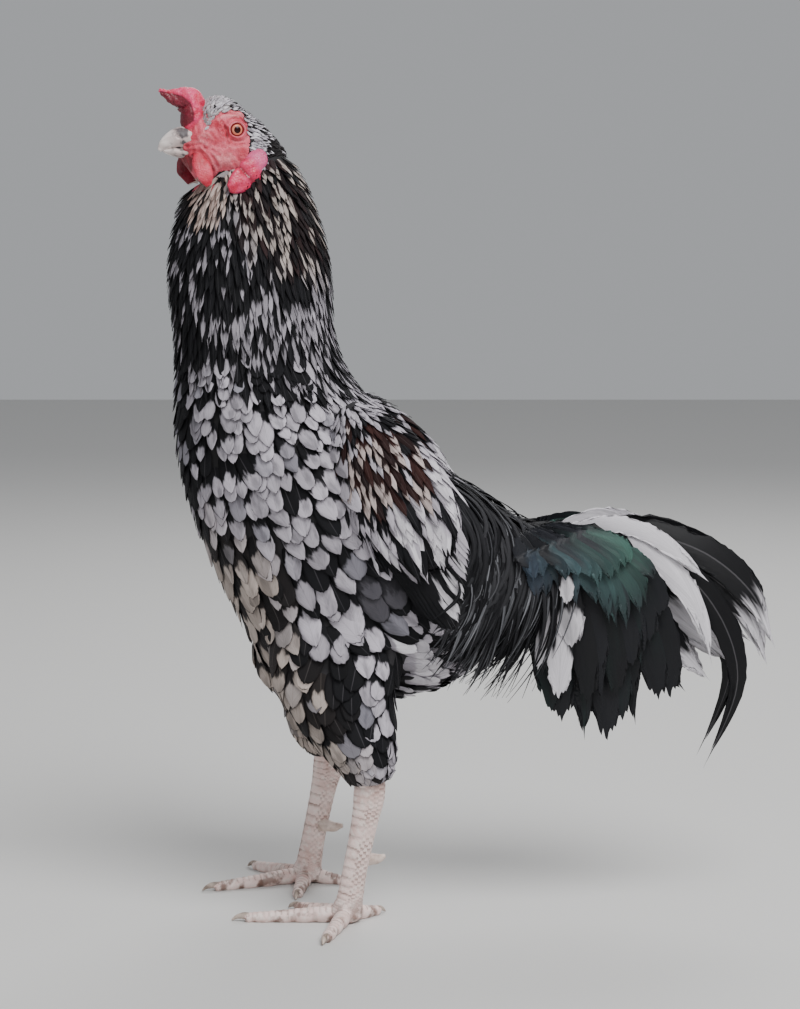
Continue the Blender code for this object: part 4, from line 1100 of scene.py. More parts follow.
# %% Saddle hackles
saddle_area = on_trunk & (row > 8.0) & (turn < 84) & (roots[:, 0] > 0.080) & (roots[:, 0] < 0.150)
for side, sign in SIDES.items():
    rng = np.random.default_rng(41)
    ids = side_roots(saddle_area, 0.0038 * every, sign)
    start = roots[ids]
    down = unit(trunk_skin(trunk_t[ids], trunk_a[ids] + sign * 0.05) - trunk_skin(trunk_t[ids], trunk_a[ids]))
    back = along(trunk_skin, trunk_t[ids], trunk_a[ids])
    heading = unit(down * np.interp(start[:, 0], (0.08, 0.15), (0.8, 1.5))[:, None] + back)
    heading = unit(heading + rng.normal(0, 0.07, heading.shape))
    low = np.interp(start[:, 0], (0.06, 0.11, 0.16), (0.245, 0.196, 0.190))
    low += 0.075 * rng.uniform(size=len(ids)) ** 1.6
    length = np.clip((start[:, 2] - low) * 1.10, 0.040, 0.145)
    paths, normals = walk(start, heading, length, 0.0062, 14, 0.6, 2.2, True)
    s = np.linspace(0, 1, paths.shape[1])[None]
    bow, phase = rng.uniform(0.5, 1.2, (len(ids), 1)), rng.uniform(0, 6, (len(ids), 1))
    paths[..., 0] += bow * (0.020 * np.sin(math.pi * s) - 0.016 * s ** 2) + 0.0012 * np.sin(7 * s + phase) * s
    laid = lay(STRAND_FORMS, paths, normals, rng.uniform(0.0018, 0.0034, len(ids)), 0.0003, 0.25)
    base = between(BLACK, srgb(58, 58, 61), rng.uniform(0, 1, len(ids)) ** 2)
    tip = between(srgb(74, 75, 79), srgb(132, 133, 138), rng.uniform(0, 1, len(ids)))
    streaked = rng.uniform(size=len(ids)) < 0.30
    edge = np.where(rng.uniform(size=len(ids)) < 0.16, rng.uniform(0.5, 0.9, len(ids)), NEVER)
    mark = mark_of(edge, np.where(streaked, rng.uniform(0.05, 0.5, len(ids)), NO_STRIPE), rng, 0.2)
    coat_object("saddle_" + side, laid, base, tip, mark, unwrapped(ids), plumage)


# %% [markdown]
# The tail is built in upright sheets from the middle outwards, as on the bird: stiff straight feathers, then
# the curved sickles, then long and short coverts over their roots. Each has its own curve in the side view.

# %% Tables of the tail
SHEET_STEP = 0.0027  # from one sheet of feathers to the next, outwards
TENT = 0.10  # how far each vane leans over the one inside it
RECTRIX_TIPS = np.array([(0.352, 0.268), (0.345, 0.232), (0.322, 0.202), (0.286, 0.184)])
SICKLES = {  # points of the shaft in x, z, then the half-width
    "upper": ([(0.182, 0.308), (0.240, 0.319), (0.297, 0.304), (0.340, 0.268), (0.3595, 0.222)], 0.0150),
    "hooked": ([(0.184, 0.304), (0.250, 0.306), (0.305, 0.262), (0.3285, 0.195), (0.3008, 0.1212)], 0.0128),
    "outer": ([(0.180, 0.318), (0.218, 0.326), (0.260, 0.300), (0.293, 0.258), (0.3064, 0.209)], 0.0118),
    "inner": ([(0.184, 0.300), (0.245, 0.304), (0.302, 0.284), (0.337, 0.250), (0.3535, 0.207)], 0.0120),
}
SHORT_WHITE = [(0.182, 0.320), (0.222, 0.328), (0.262, 0.314), (0.3027, 0.279)]
SPOTS = [  # feathers with a round white end: tip, half-width, where the white starts
    ((0.1777, 0.1840), 0.0116, 0.64),
    ((0.1600, 0.2080), 0.0070, 0.66),
    ((0.1880, 0.2270), 0.0134, 0.66),
    ((0.1835, 0.2640), 0.0066, 0.62),
]
COVERTS = [  # layer, count, half-width, first root, last root, then points through the tips
    ("low", 8, 0.0150, (0.180, 0.316), (0.160, 0.292), (0.272, 0.186), (0.240, 0.156), (0.205, 0.145), (0.172, 0.166)),
    ("low", 9, 0.0126, (0.174, 0.318), (0.159, 0.304), (0.262, 0.250), (0.240, 0.202), (0.208, 0.180), (0.172, 0.192)),
    (
        "sheen", 11, 0.0088, (0.176, 0.322), (0.148, 0.314),
        (0.256, 0.276), (0.240, 0.246), (0.216, 0.250), (0.188, 0.262), (0.160, 0.262),
    ),
    ("top", 10, 0.0086, (0.172, 0.326), (0.140, 0.320), (0.236, 0.300), (0.218, 0.280), (0.192, 0.280), (0.156, 0.286)),
]
SPOTS_UNDER = {"low": [], "sheen": SPOTS[:3], "top": SPOTS[3:]}  # laid before a layer of coverts
print("coverts on each side:", sum(count for _, count, *_ in COVERTS))


# %% The tail's sheets, one side at a time
def sheet(points, y, root_y, sign, steps=24):
    """A feather's path in an upright sheet, its root drawn in towards the middle."""
    share = np.linspace(0, 1, steps)
    xz = read(np.array(points), share)
    settle = np.minimum(share / 0.3, 1.0)
    return np.stack([xz[:, 0], sign * (root_y + (y - root_y) * settle), xz[:, 1]], -1)


def tail_side(side, sign):
    """All feathers of the tail on one side, from the middle sheet outwards."""
    rng = np.random.default_rng(51)
    plain, curved, blunt = [], [], []

    def feather(group, points, width, y, root_y, first, second, boundary, softness=0.06):
        tones = first * rng.uniform(0.85, 1.15), second * rng.uniform(0.92, 1.05)
        group.append((sheet(points, y, root_y, sign), width, *tones, boundary, softness))

    y = SHEET_STEP
    for i, boundary in enumerate((0.80, 0.76, 0.84, 0.60, 0.84, NEVER)):
        x, z = read(RECTRIX_TIPS, np.array(i / 5))
        root = (0.182, 0.315 - 0.024 * i / 5)
        middle = ((root[0] + x) / 2, (root[1] + z) / 2 + 0.012)
        feather(plain, [root, middle, (x, z)], 0.0165, y, y * 0.7, BLACK, WHITE, boundary)
        y += SHEET_STEP
    feather(plain, *SICKLES["inner"], y, y * 0.7, BLACK, WHITE, 0.76)
    y += SHEET_STEP
    feather(plain, *SICKLES["upper"], y, y * 0.7, BLACK, WHITE, 0.84)
    feather(curved, *SICKLES["hooked"], y + SHEET_STEP, (y + SHEET_STEP) * 0.7, BLACK * 0.8, WHITE, 0.97)
    path, half = SICKLES["outer"]
    for i, line in enumerate((path, SHORT_WHITE)):
        out = y + (2 + 0.6 * i) * SHEET_STEP
        feather(plain, line, half - 0.003 * i, out, out * 0.7, WHITE * 0.95, WHITE, 0.5)
    y += 3 * SHEET_STEP
    for layer, count, width, first, last, *tips in COVERTS:
        upper = layer != "low"
        for (x, z), half, boundary in SPOTS_UNDER[layer]:
            path = [(0.164, 0.312), (0.5 * (0.166 + x) + 0.006, 0.5 * (0.312 + z) + 0.004), (x, z)]
            feather(blunt, path, half, y + 0.0004, y * 0.8, BLACK, WHITE * 0.92, boundary)
            y += SHEET_STEP * 0.2
        for i in range(count):
            share = np.clip((i + rng.uniform(-0.3, 0.3)) / (count - 1), 0, 1)
            root = [a + (b - a) * share for a, b in zip(first, last)]
            x, z = read(np.array(tips), np.array(share))
            reach = x - root[0]
            bend = (root[0] + reach * 0.45, root[1] - 0.004 - 0.012 * share)
            hang = (root[0] + reach * 0.88, root[1] * 0.45 + z * 0.55)
            skin_y = abs(nearest(np.array([[root[0], sign * 0.06, root[1]]]))[0][0, 1])
            root_y = skin_y - 0.0045
            z += rng.uniform(-0.005, 0.012)
            # A painted sheen in the base colour: teal to steel blue along the upper coverts, green on the lower ones.
            sheen = TEAL + (STEEL - TEAL) * share if upper else GREEN
            high = BLACK + (sheen - BLACK) * (rng.uniform(0.45, 0.95) if upper else rng.uniform(0.0, 0.45))
            low = BLACK + (SLATE - BLACK) * rng.uniform(0, 0.45 if upper else 0.12)
            high, low = (low, high) if layer == "top" else (high, low)
            boundary = rng.uniform(0.60, 0.85) if layer == "sheen" else rng.uniform(0.35, 0.70)
            group = plain if upper or i % 3 == 2 else blunt
            feather(group, [root, bend, hang, (x, z)], width, max(y, root_y), root_y, high, low, boundary, 0.3)
            y += SHEET_STEP * (0.15 if upper else 0.32)
    groups = {"tail": (plain, RAGGED_FORMS), "coverts": (blunt, BLUNT_FORMS), "sickles": (curved, SABRE_FORMS)}
    for name, (group, group_forms) in groups.items():
        paths, half, base, tip, edge, softness = (np.array(values) for values in zip(*group))
        out = np.zeros_like(paths)
        out[..., 1], out[..., 2] = sign, TENT
        laid = lay(group_forms, paths, out, half, 0.0004, 0.10)
        mark = mark_of(edge, np.full(len(half), NO_RIM), rng, softness)
        flat = paths[:, 2, [0, 2]] + 0.2 * paths[:, -1, [0, 2]]
        nodes = ["tail"] if side == "left" else []
        coat_object(f"{name}_{side}", laid, base, tip, mark, flat, glossy, *nodes)


for side, sign in SIDES.items():
    tail_side(side, sign)


# %% [markdown]
# Comb, wattles, earlobes and beak are pieces of their own, each a fine loft whose points are then roughened or
# folded as the real one is: a three-ridged comb that curls forwards over a hollow, thin wattles, hooked horn.

# %% Helpers for comb, wattles, earlobes and beak
def inside(x, z, outline):
    """Whether points of the side view lie inside a closed outline."""
    odd = np.zeros(len(x), bool)
    for (ax, az), (bx, bz) in zip(outline, np.roll(outline, -1, axis=0)):
        crosses = (az > z) != (bz > z)
        odd ^= crosses & (x < (bx - ax) * (z - az) / (bz - az + 1e-12) + ax)
    return odd


def shaped(name, rows, rings, sides, relief, finish, slot_name, *nodes, turn=True, fold=None):
    """A loft along rows, its points moved out by relief(points, t, angle), then turned with the head."""
    bm = loft(limb(rows), rings, sides)
    xyz, out = points_and_normals(bm)
    t, angle, _ = unwrap(limb(rows), xyz, rings * 2, sides * 2)
    moved = xyz + out * relief(xyz, t, angle)[:, None]
    move_points(bm, turned(moved) if turn else moved)
    mesh = mesh_of(bm, name)
    if fold:
        set_attribute(mesh, "fold", fold(xyz, t))
    finish_piece(object_from(name, mesh, finish), slot_name, *nodes)


def ripples(seed, scale, height, count=10):
    """A smooth random relief: many sine waves in all directions."""
    rng = np.random.default_rng(seed)
    waves = [(rng.normal(size=3) * scale, rng.uniform(0, 6)) for _ in range(count)]
    return lambda p, t, a: sum(np.sin(p @ k + phase) for k, phase in waves) * height / math.sqrt(count)


# %% Finishes for bare skin and horn
def flesh(name, deep, fair, sheen_at=0.5, grain=900.0, light=None, dark=None):
    """Bare red skin: deep and fair tones in patches, fine pimples, a slight moist gloss; an attribute lays a light
    colour and a dark one, the dark always a painted shade.
    """
    f = Finish(name, 0.46, Subsurface_Weight=0.12, Subsurface_Scale=0.004, Subsurface_Radius=(1.0, 0.25, 0.15))
    place = f.place()
    patchy = f.noise(place, 75.0, 4.0).ease(0.32, 0.68)
    pores = f.cells(place, grain)
    tone = f.mix(patchy, deep, fair)
    fold = f.attribute("fold", 2)
    # Above zero the attribute lays the light colour: a painted highlight on the face's raised folds, and the earlobe's
    # paler upper half.
    if light is not None:
        tone = f.mix(fold.ease(0.1, 1.1, 0.0, 0.55), tone, light)
    # Below zero it lays the dark colour as painted shade: the face's creases and jaw, the comb's hollow, the earlobe's
    # crease.
    if dark is not None:
        tone = f.mix(fold.ease(-0.15, -1.0, 0.0, 0.92), tone, dark)
    f.feed(f.shaded(tone, pores.ease(0.15, 0.75, 1.05, 0.88)))
    f.feed(f.noise(place, 300.0).ease(0.3, 0.7, sheen_at - 0.1, sheen_at + 0.12), "Roughness")
    f.emboss(f.noise(place, 300.0, 5.0) * 2.4 - pores, 0.5, 0.0006)
    return f


# The face's light colour is a painted highlight on raised folds; its dark colour is painted shade in creases and under
# the jaw.
face_finish = flesh(
    "face_skin", srgb(184, 42, 62), srgb(222, 98, 116), light=srgb(234, 152, 158), dark=srgb(116, 14, 28),
)
# The comb's dark colour is a painted shade in the hollow under its tip.
comb_finish = flesh("comb_skin", srgb(198, 26, 66), srgb(228, 74, 120), 0.42, 700.0, dark=srgb(98, 0, 24))
wattle_finish = flesh("wattle_skin", srgb(182, 30, 54), srgb(218, 76, 98), 0.45)
# The far wattle takes the near one's colours, darkened: a painted shade.
shaded_far_wattle_finish = flesh("far_wattle_skin", srgb(100, 8, 28), srgb(136, 24, 46), 0.45)
# The earlobe's light colour is its paler upper half; its dark colour is a painted shade in the crease.
lobe_finish = flesh(
    "earlobe_skin", srgb(196, 22, 60), srgb(218, 70, 112), 0.35, 600.0, srgb(214, 118, 164), srgb(130, 8, 36),
)


def horn(name, pale, dark, grain=(1, 1, 1)):
    """Horn with soft streaks; gives the finish and its tone."""
    f = Finish(name, 0.38)
    streak = f.noise(f.add("Mapping", {0: f.place(), 3: grain}), 160.0, 4.0)
    tone = f.mix(streak.ease(0.35, 0.75), pale, dark)
    f.feed(tone)
    f.feed(streak.ease(0.3, 0.8, 0.28, 0.5), "Roughness")
    f.emboss(streak, 0.3, 0.0003)
    return f, tone


beak_finish, ivory = horn("beak_horn", srgb(226, 216, 212), srgb(186, 174, 170), (0.4, 1, 1))
along_x = beak_finish.add("SeparateXYZ", [beak_finish.place()])
base_x = float(turned(np.array([-0.1330, 0.0, 0.64]))[0] + SHIFT[0])
near_base = along_x.ease(base_x - 0.0140, base_x - 0.0030)
buff = beak_finish.mix(near_base, ivory, srgb(196, 178, 174))
stained = near_base * beak_finish.noise(beak_finish.place(), 170.0, 5.0).ease(0.45, 0.60)
beak_finish.feed(beak_finish.mix(stained, buff, srgb(86, 80, 82)))
claw_finish, _ = horn("claw_horn", srgb(184, 168, 156), srgb(104, 88, 78))
spur_finish, _ = horn("spur_horn", srgb(214, 197, 187), srgb(164, 140, 128))


# %% [markdown]
# The tables give each piece's sections from root to tip: the middle in x, y and z, half its height and half its
# width. Small reliefs then raise the nostril's rim, the comb's low points and the crease between the two lobes.

# %% The tables and reliefs
NOSTRIL_AT = (-0.1395, 0.6445)  # x, z


def nostril(p, t, a):
    """A slit sunk in each side of the beak, with a low rim."""
    d = np.hypot((p[:, 0] - NOSTRIL_AT[0]) / 0.0024, (p[:, 2] - NOSTRIL_AT[1]) / 0.0013)
    slit = 0.0005 * bell(d, 1.35, 0.4) - 0.0012 * bell(d, 0, 0.8)
    return slit * (np.abs(p[:, 1]) > 0.004) + ripples(1, 500, 0.00008)(p, t, a)


UPPER = [
    (-0.1220, 0, 0.6410, 0.0050, 0.0120),
    (-0.1268, 0, 0.6430, 0.0080, 0.0124),
    (-0.1322, 0, 0.6440, 0.0092, 0.0106),
    (-0.1382, 0, 0.6438, 0.0087, 0.0083),
    (-0.1445, 0, 0.6416, 0.0068, 0.0060),
    (-0.1500, 0, 0.6382, 0.0047, 0.0038),
    (-0.1540, 0, 0.6338, 0.0016, 0.0013),
]
LOWER = [
    (-0.1230, 0, 0.6330, 0.0034, 0.0112),
    (-0.1285, 0, 0.6318, 0.0048, 0.0100),
    (-0.1370, 0, 0.6322, 0.0042, 0.0068),
    (-0.1440, 0, 0.6328, 0.0032, 0.0046),
    (-0.1505, 0, 0.6336, 0.0011, 0.0014),
]
COMB = [
    (-0.1250, 0, 0.6500, 0.0100, 0.0090),
    (-0.1255, 0, 0.6580, 0.0114, 0.0108),
    (-0.1255, 0, 0.6660, 0.0114, 0.0100),
    (-0.1275, 0.0005, 0.6738, 0.0106, 0.0080),
    (-0.1380, 0.0015, 0.6758, 0.0082, 0.0052),
    (-0.1460, 0.0022, 0.6788, 0.0046, 0.0032),
    (-0.1528, 0.0030, 0.6824, 0.0011, 0.0010),
]
HOLLOW = np.array([  # outline in x, z
    (-0.1530, 0.6826), (-0.1430, 0.6814), (-0.1345, 0.6784), (-0.1285, 0.6725),
    (-0.1262, 0.6640), (-0.1268, 0.6570), (-0.1500, 0.6400), (-0.1600, 0.6600),
])


def hollow_depth_and_shade(p, t):
    """Down to -1 in the hollow under the comb's tip, soft at its edge; it sinks the hollow a little and lays painted
    shade in it.
    """
    d = line_distance(p[:, 0], p[:, 2], [*HOLLOW, HOLLOW[0]])
    return -step_up(np.where(inside(p[:, 0], p[:, 2], HOLLOW), d, -d), -0.0008, 0.0022) * 1.1


def two_lobes(p, t):
    """Pale above, and a painted shade in the crease between the lobe's two halves."""
    return step_up(-t, -0.56, -0.30) - 0.9 * bell(t, 0.60, 0.035)


def lobe_relief(p, t, a):
    """A crease between the lobe's two halves."""
    return ripples(6, 300, 0.0006)(p, t, a) - 0.0022 * bell(t, 0.60, 0.05)


def comb_relief(p, t, a):
    """Three ridges along it, each a row of low points, on the upper and outer side."""
    ridge = np.cos(3 * a) * np.clip(np.sin(math.pi * t), 0, 1)
    beads = np.sin(t * 46) * np.sin(a * 6)
    low_points = 0.0004 * ridge + 0.0003 * beads * (t > 0.25)
    return low_points + ripples(2, 420, 0.0004)(p, t, a) + 0.0008 * hollow_depth_and_shade(p, t)


# %% The pieces of the head
WATTLE = [
    (-0.1235, 0.0070, 0.6370, 0.0034, 0.0036),
    (-0.1240, 0.0105, 0.6310, 0.0050, 0.0034),
    (-0.1235, 0.0162, 0.6225, 0.0070, 0.0028),
    (-0.1215, 0.0196, 0.6140, 0.0070, 0.0026),
    (-0.1180, 0.0210, 0.6050, 0.0026, 0.0014),
]
LOBE = [
    (-0.0735, 0.0177, 0.6345, 0.0040, 0.0030),
    (-0.0762, 0.0227, 0.6285, 0.0080, 0.0044),
    (-0.0805, 0.0270, 0.6215, 0.0104, 0.0050),
    (-0.0895, 0.0312, 0.6122, 0.0116, 0.0050),
    (-0.1000, 0.0334, 0.6056, 0.0078, 0.0036),
    (-0.1050, 0.0337, 0.6030, 0.0030, 0.0020),
]
shaped("upper_beak", UPPER, 60, 48, nostril, beak_finish, "horn", "beak_upper")
shaped("lower_beak", LOWER, 50, 40, ripples(4, 500, 0.00008), beak_finish, "horn", "beak_lower")
shaped("comb_piece", COMB, 110, 80, comb_relief, comb_finish, "face_skin", "comb", fold=hollow_depth_and_shade)
for side, sign in SIDES.items():
    wattle = WATTLE
    if side == "right":
        wattle = [(x - 0.0030, y, z + 0.0030, half + 0.0016, thin) for x, y, z, half, thin in WATTLE]
    wattle, lobe = ([(x, sign * y, *rest) for x, y, *rest in rows] for rows in (wattle, LOBE))
    relief, finish = ripples(5, 380, 0.0005), wattle_finish if side == "left" else shaded_far_wattle_finish
    shaped(f"wattle_skin_{side}", wattle, 60, 48, relief, finish, "face_skin", f"wattle_{side}")
    lobe_node = f"earlobe_{side}"
    shaped(f"earlobe_skin_{side}", lobe, 60, 48, lobe_relief, lobe_finish, "face_skin", lobe_node, fold=two_lobes)


# %% [markdown]
# A cock's eye is a glossy ball, most of it under the skin. A clear bulging front covers a dark round pupil in
# an orange-pink iris with fine spokes. The rings are drawn from each point's angle off the line of sight.

# %% Eyes
eye_finish = f = Finish("eye", 0.05, Specular_IOR_Level=0.22)
off_sight, about, _ = f.add("SeparateXYZ", [f.add("UVMap", uv_map="Rings")], None)
spokes = f.noise(f.add("CombineXYZ", (about * 60.0, off_sight, 0.0)), 3.0, 3.0)
iris = f.mix(spokes, srgb(196, 96, 72), srgb(232, 156, 126))
rim = f.mix(off_sight.ease(0.168, 0.196), iris, srgb(110, 36, 32))
f.feed(f.mix(off_sight.ease(0.108, 0.126), srgb(40, 8, 8), rim))

EYE_RADIUS = 0.0080
for side, sign in SIDES.items():
    bm = bmesh.new()
    bmesh.ops.create_uvsphere(bm, u_segments=48, v_segments=48, radius=EYE_RADIUS)
    rings = bm.loops.layers.uv.new("Rings")
    for face in bm.faces:
        for loop in face.loops:
            p = loop.vert.co
            off = math.acos(max(-1, min(1, p.z / EYE_RADIUS))) / math.pi
            loop[rings].uv = (off, math.atan2(p.y, p.x) / math.tau + 0.5)
    for v in bm.verts:
        v.co.z += 0.0005 * math.exp(-(math.hypot(v.co.x, v.co.y) / 0.0042) ** 2) * (v.co.z > 0)
    sight = Matrix.Rotation(HEAD_TURN, 3, "Z") @ Vector((0, sign, 0.0))
    facing = sight.to_track_quat("Z", "X").to_matrix().to_4x4()
    bm.transform(Matrix.Translation(turned(EYE_AT * (1, sign, 1))) @ facing)
    finish_piece(object_from("eyeball_" + side, mesh_of(bm, "eyeball"), eye_finish), "eye", "eye_" + side)


# %% [markdown]
# The face is bare from the comb back to the ear and down to the wattles. Round it stand the smallest feathers
# of all: pale flecked ones on the crown and behind the eye, a white tuft over the ear and buff ones below the
# jaw. They lie back from the face.

# %% Where the face is bare, and the crown
BARE = np.array([  # outline of the bare face in x, z
    (-0.1500, 0.6700), (-0.1340, 0.6640), (-0.1243, 0.6538), (-0.1200, 0.6505), (-0.1155, 0.6525),
    (-0.1135, 0.6580), (-0.1085, 0.6640), (-0.0990, 0.6682), (-0.0900, 0.6668), (-0.0845, 0.6610),
    (-0.0830, 0.6425), (-0.0850, 0.6301), (-0.0930, 0.6180), (-0.1080, 0.6170), (-0.1120, 0.6110),
    (-0.1290, 0.6110), (-0.1500, 0.6200),
])
plain_roots = unturned(roots)
on_head = (region == "head") | (on_trunk & (row <= 0.05))
bare = inside(plain_roots[:, 0] + 0.0018, plain_roots[:, 2], BARE) & (np.abs(plain_roots[:, 1]) > 0.004)
in_front = plain_roots[:, 0] < -0.1215
throat = throat_area & ~bare
crown = on_head & ~bare & ~in_front & ~throat


def crown_markings(points, rng):
    """Pale flecks on the crown, a white tuft over the ear and buff below the jaw."""
    n = len(points)
    p = unturned(points)
    base, tip = np.tile(SOFT_BLACK, (n, 1)), vary(rng, between(LILAC, WHITE, rng.uniform(0, 1, n)))
    chance = np.interp(p[:, 0], (-0.112, -0.090, -0.074, -0.064, -0.050), (0.97, 0.66, 0.70, 0.38, 0.28))
    chance = np.where((p[:, 2] < 0.652) & (p[:, 0] < -0.070), 0.94, chance)
    chance *= np.interp(p[:, 2], (0.624, 0.642), (0.30, 1.0))
    jaw = (p[:, 2] < 0.627) & (p[:, 0] < -0.084)
    base[jaw], tip[jaw] = srgb(168, 150, 143), srgb(206, 190, 182)
    pale = (rng.uniform(size=n) < chance) | jaw
    base[p[:, 0] < -0.098] = srgb(172, 165, 166)
    base[(p[:, 2] < 0.652) & (p[:, 0] < -0.070)] = LILAC * 0.6
    return vary(rng, base, 0.4), tip, np.where(pale, rng.uniform(0.0, 0.6, n), NEVER), np.full(n, NO_STRIPE)


coat(
    "crown", crown, 0.0018 * every, SMALL_FORMS,
    np.interp(plain_roots[:, 0], (-0.12, -0.08, -0.05), (0.0060, 0.0095, 0.0150)), 0.0014 * every,
    0.0020, 61, crown_markings,
)


# %% Throat
THROAT_COLUMNS = (189, 227)  # the buff throat's edges in the picture


def throat_markings(points, rng):
    """Buff feathers under the jaw, some of them black; all past its rear edge black, and all before its front edge
    black as a painted shadow.
    """
    n = len(points)
    base = between(srgb(150, 128, 120), srgb(206, 190, 182), rng.uniform(0, 1, n))
    x = seen(points)[0] + rng.normal(0, 3, n)
    # Black before the throat's front column is a painted shadow.
    base[(rng.uniform(size=n) < 0.14) | (x < THROAT_COLUMNS[0]) | (x > THROAT_COLUMNS[1])] = SOFT_BLACK
    return base, vary(rng, base, 0.1), np.full(n, NEVER), np.full(n, NO_STRIPE)


coat(
    "throat", throat, 0.0030 * every, LANCE_FORMS,
    0.0190 * every, 0.0016 * every, 0.0058, 62, throat_markings, pull=2.2, loose=0.24,
)


# %% [markdown]
# Shank, foot and toes are one scaled skin on each leg. The lofts are voxel-remeshed together, so the toes grow
# out of the foot. Each point then finds which part it is on, and where, and rises or sinks with the scales:
# broad plates down the front of the shank and along the tops of the toes, small ones behind, pads beneath.

# %% Sections of each leg
SHANK_DEPTH, SHANK_WIDTH = 0.0230, 0.0165
TOES = ("inner", "middle", "outer", "hind")
TOE_LENGTHS = (0.050, 0.080, 0.060, 0.030)
TOE_BASE = 0.0068  # radius of a toe where it leaves the pad
CLAW_LENGTHS = (0.013, 0.015, 0.013, 0.012)  # as the toes, from inner to hind
TOE_TAPER = ((0.0, 0.0015, 1.0), (0.3, 0.0004, 0.93), (0.65, 0.0, 0.78), (0.95, 0.0, 0.63), (1.0, 0.0, 0.45))
TOE_START = 0.004  # from the pad's middle to a toe's first section
SOLE = 0.0011  # how far a toe's round section is cut flat by the floor


def leg_rows(side):
    """Rows of each part of a leg, with the toes' headings."""
    sign, leg = SIDES[side], LEGS[side]
    (hx, hz), (ax, az) = leg["hock"], leg["ankle"]
    y = sign * STANCE
    parts = {
        "shank": [
            (hx, y, hz + 0.030, SHANK_DEPTH * 0.40, SHANK_WIDTH * 0.40),
            (hx, y, hz - 0.006, SHANK_DEPTH * 0.58, SHANK_WIDTH * 0.55),
            (hx * 0.75 + ax * 0.25, y, 0.085, SHANK_DEPTH * 0.49, SHANK_WIDTH * 0.49),
            (hx * 0.30 + ax * 0.70, y, 0.048, SHANK_DEPTH * 0.45, SHANK_WIDTH * 0.46),
            (ax, y, az, SHANK_DEPTH * 0.48, SHANK_WIDTH * 0.56),
            (ax - 0.001, y, 0.0145, 0.0122, 0.0110),
            (ax - 0.003, y, 0.0060, 0.0133, 0.0123),
            (ax - 0.003, y, 0.0010, 0.0105, 0.0100),
        ],
    }
    headings = []
    pad = np.array([ax - 0.003, y, 0.0])
    for k, (length, yaw) in enumerate(zip(TOE_LENGTHS, leg["toes"])):
        turn = math.radians(yaw) * sign
        ahead = np.array([-math.cos(turn), math.sin(turn) * (-1 if k == 3 else 1), 0.0])
        headings.append(ahead)
        rows = []
        for share, lift, radius in TOE_TAPER:
            spot = pad + ahead * (TOE_START + length * share)
            size = TOE_BASE * radius
            rows.append((spot[0], spot[1], size - SOLE + lift, size, size))
        parts[TOES[k]] = rows
    return parts, headings, pad


print("toes and claws:", [round((toe + claw) * 1000) for toe, claw in zip(TOE_LENGTHS, CLAW_LENGTHS)], "mm")


# %% Scales
def saw(value):
    """A scale's profile along the limb: it rises to its free edge and drops to the next."""
    f = value % 1.0
    return np.where(f < 0.86, f / 0.86, (1 - f) / 0.14)


def scale_relief(part, p, t, a, line, top_angle):
    """Height of the scales on a part of the leg; top_angle is where the part faces up."""
    length = np.linalg.norm(np.diff(line, axis=0), axis=1).sum()
    if part == "shank":
        facing = np.arctan2(p[:, 1] - p[:, 1].mean(), -(p[:, 0] - read(line, t)[:, 0]))
        front = step_up(np.cos(facing), 0.10, 0.45)
        plates = saw(t * length / 0.0050 + 0.5 * (facing > 0.12)) * front
        split = bell(facing, 0.12, 0.10) * front
        small = saw(t * length / 0.0031 + 0.5 * (np.floor(facing / 0.42) % 2)) * (1 - front)
        return 0.00055 * plates - 0.0006 * split + 0.0003 * small
    up = step_up(np.cos(a - top_angle), 0.2, 0.6)
    pads = 0.5 + 0.5 * np.cos(t * length / 0.0125 * math.tau)
    return 0.0006 * saw(t * length / 0.0038) * up + 0.0008 * pads * (1 - up)


# %% The legs' finish
leg_finish = f = Finish("leg_scale", 0.55)
place = f.place()
tone = f.mix(f.noise(place, 55.0, 5.0).ease(0.35, 0.7), srgb(236, 213, 207), srgb(212, 180, 172))
tone = f.mix(f.noise(place, 240.0, 4.0).ease(0.48, 0.62) * 0.6, tone, srgb(236, 224, 217))
worn_in = f.noise(place, 70.0, 4.0).ease(0.36, 0.64, 0.22, 0.80)
tone = f.mix(f.attribute("groove", 2).ease(0.40, 0.02) * worn_in, tone, srgb(124, 92, 82))
height = f.add("SeparateXYZ", [place], 2)
stains = height.ease(0.030, 0.002) * f.noise(place, 90.0, 5.0).ease(0.50, 0.64)
f.feed(f.mix(stains * 0.8, tone, srgb(104, 74, 60)))
f.emboss(f.noise(place, 500.0, 4.0) - f.cells(place, 420.0), 0.45, 0.0004)


# %% [markdown]
# Claws and spurs are horn sheaths that grow out of the last joint of each toe and the back of the shank. Each
# is a small loft of its own that starts a little inside the skin, so that no gap shows. The claws come down
# almost to the floor, and the spurs point back and a little inwards.

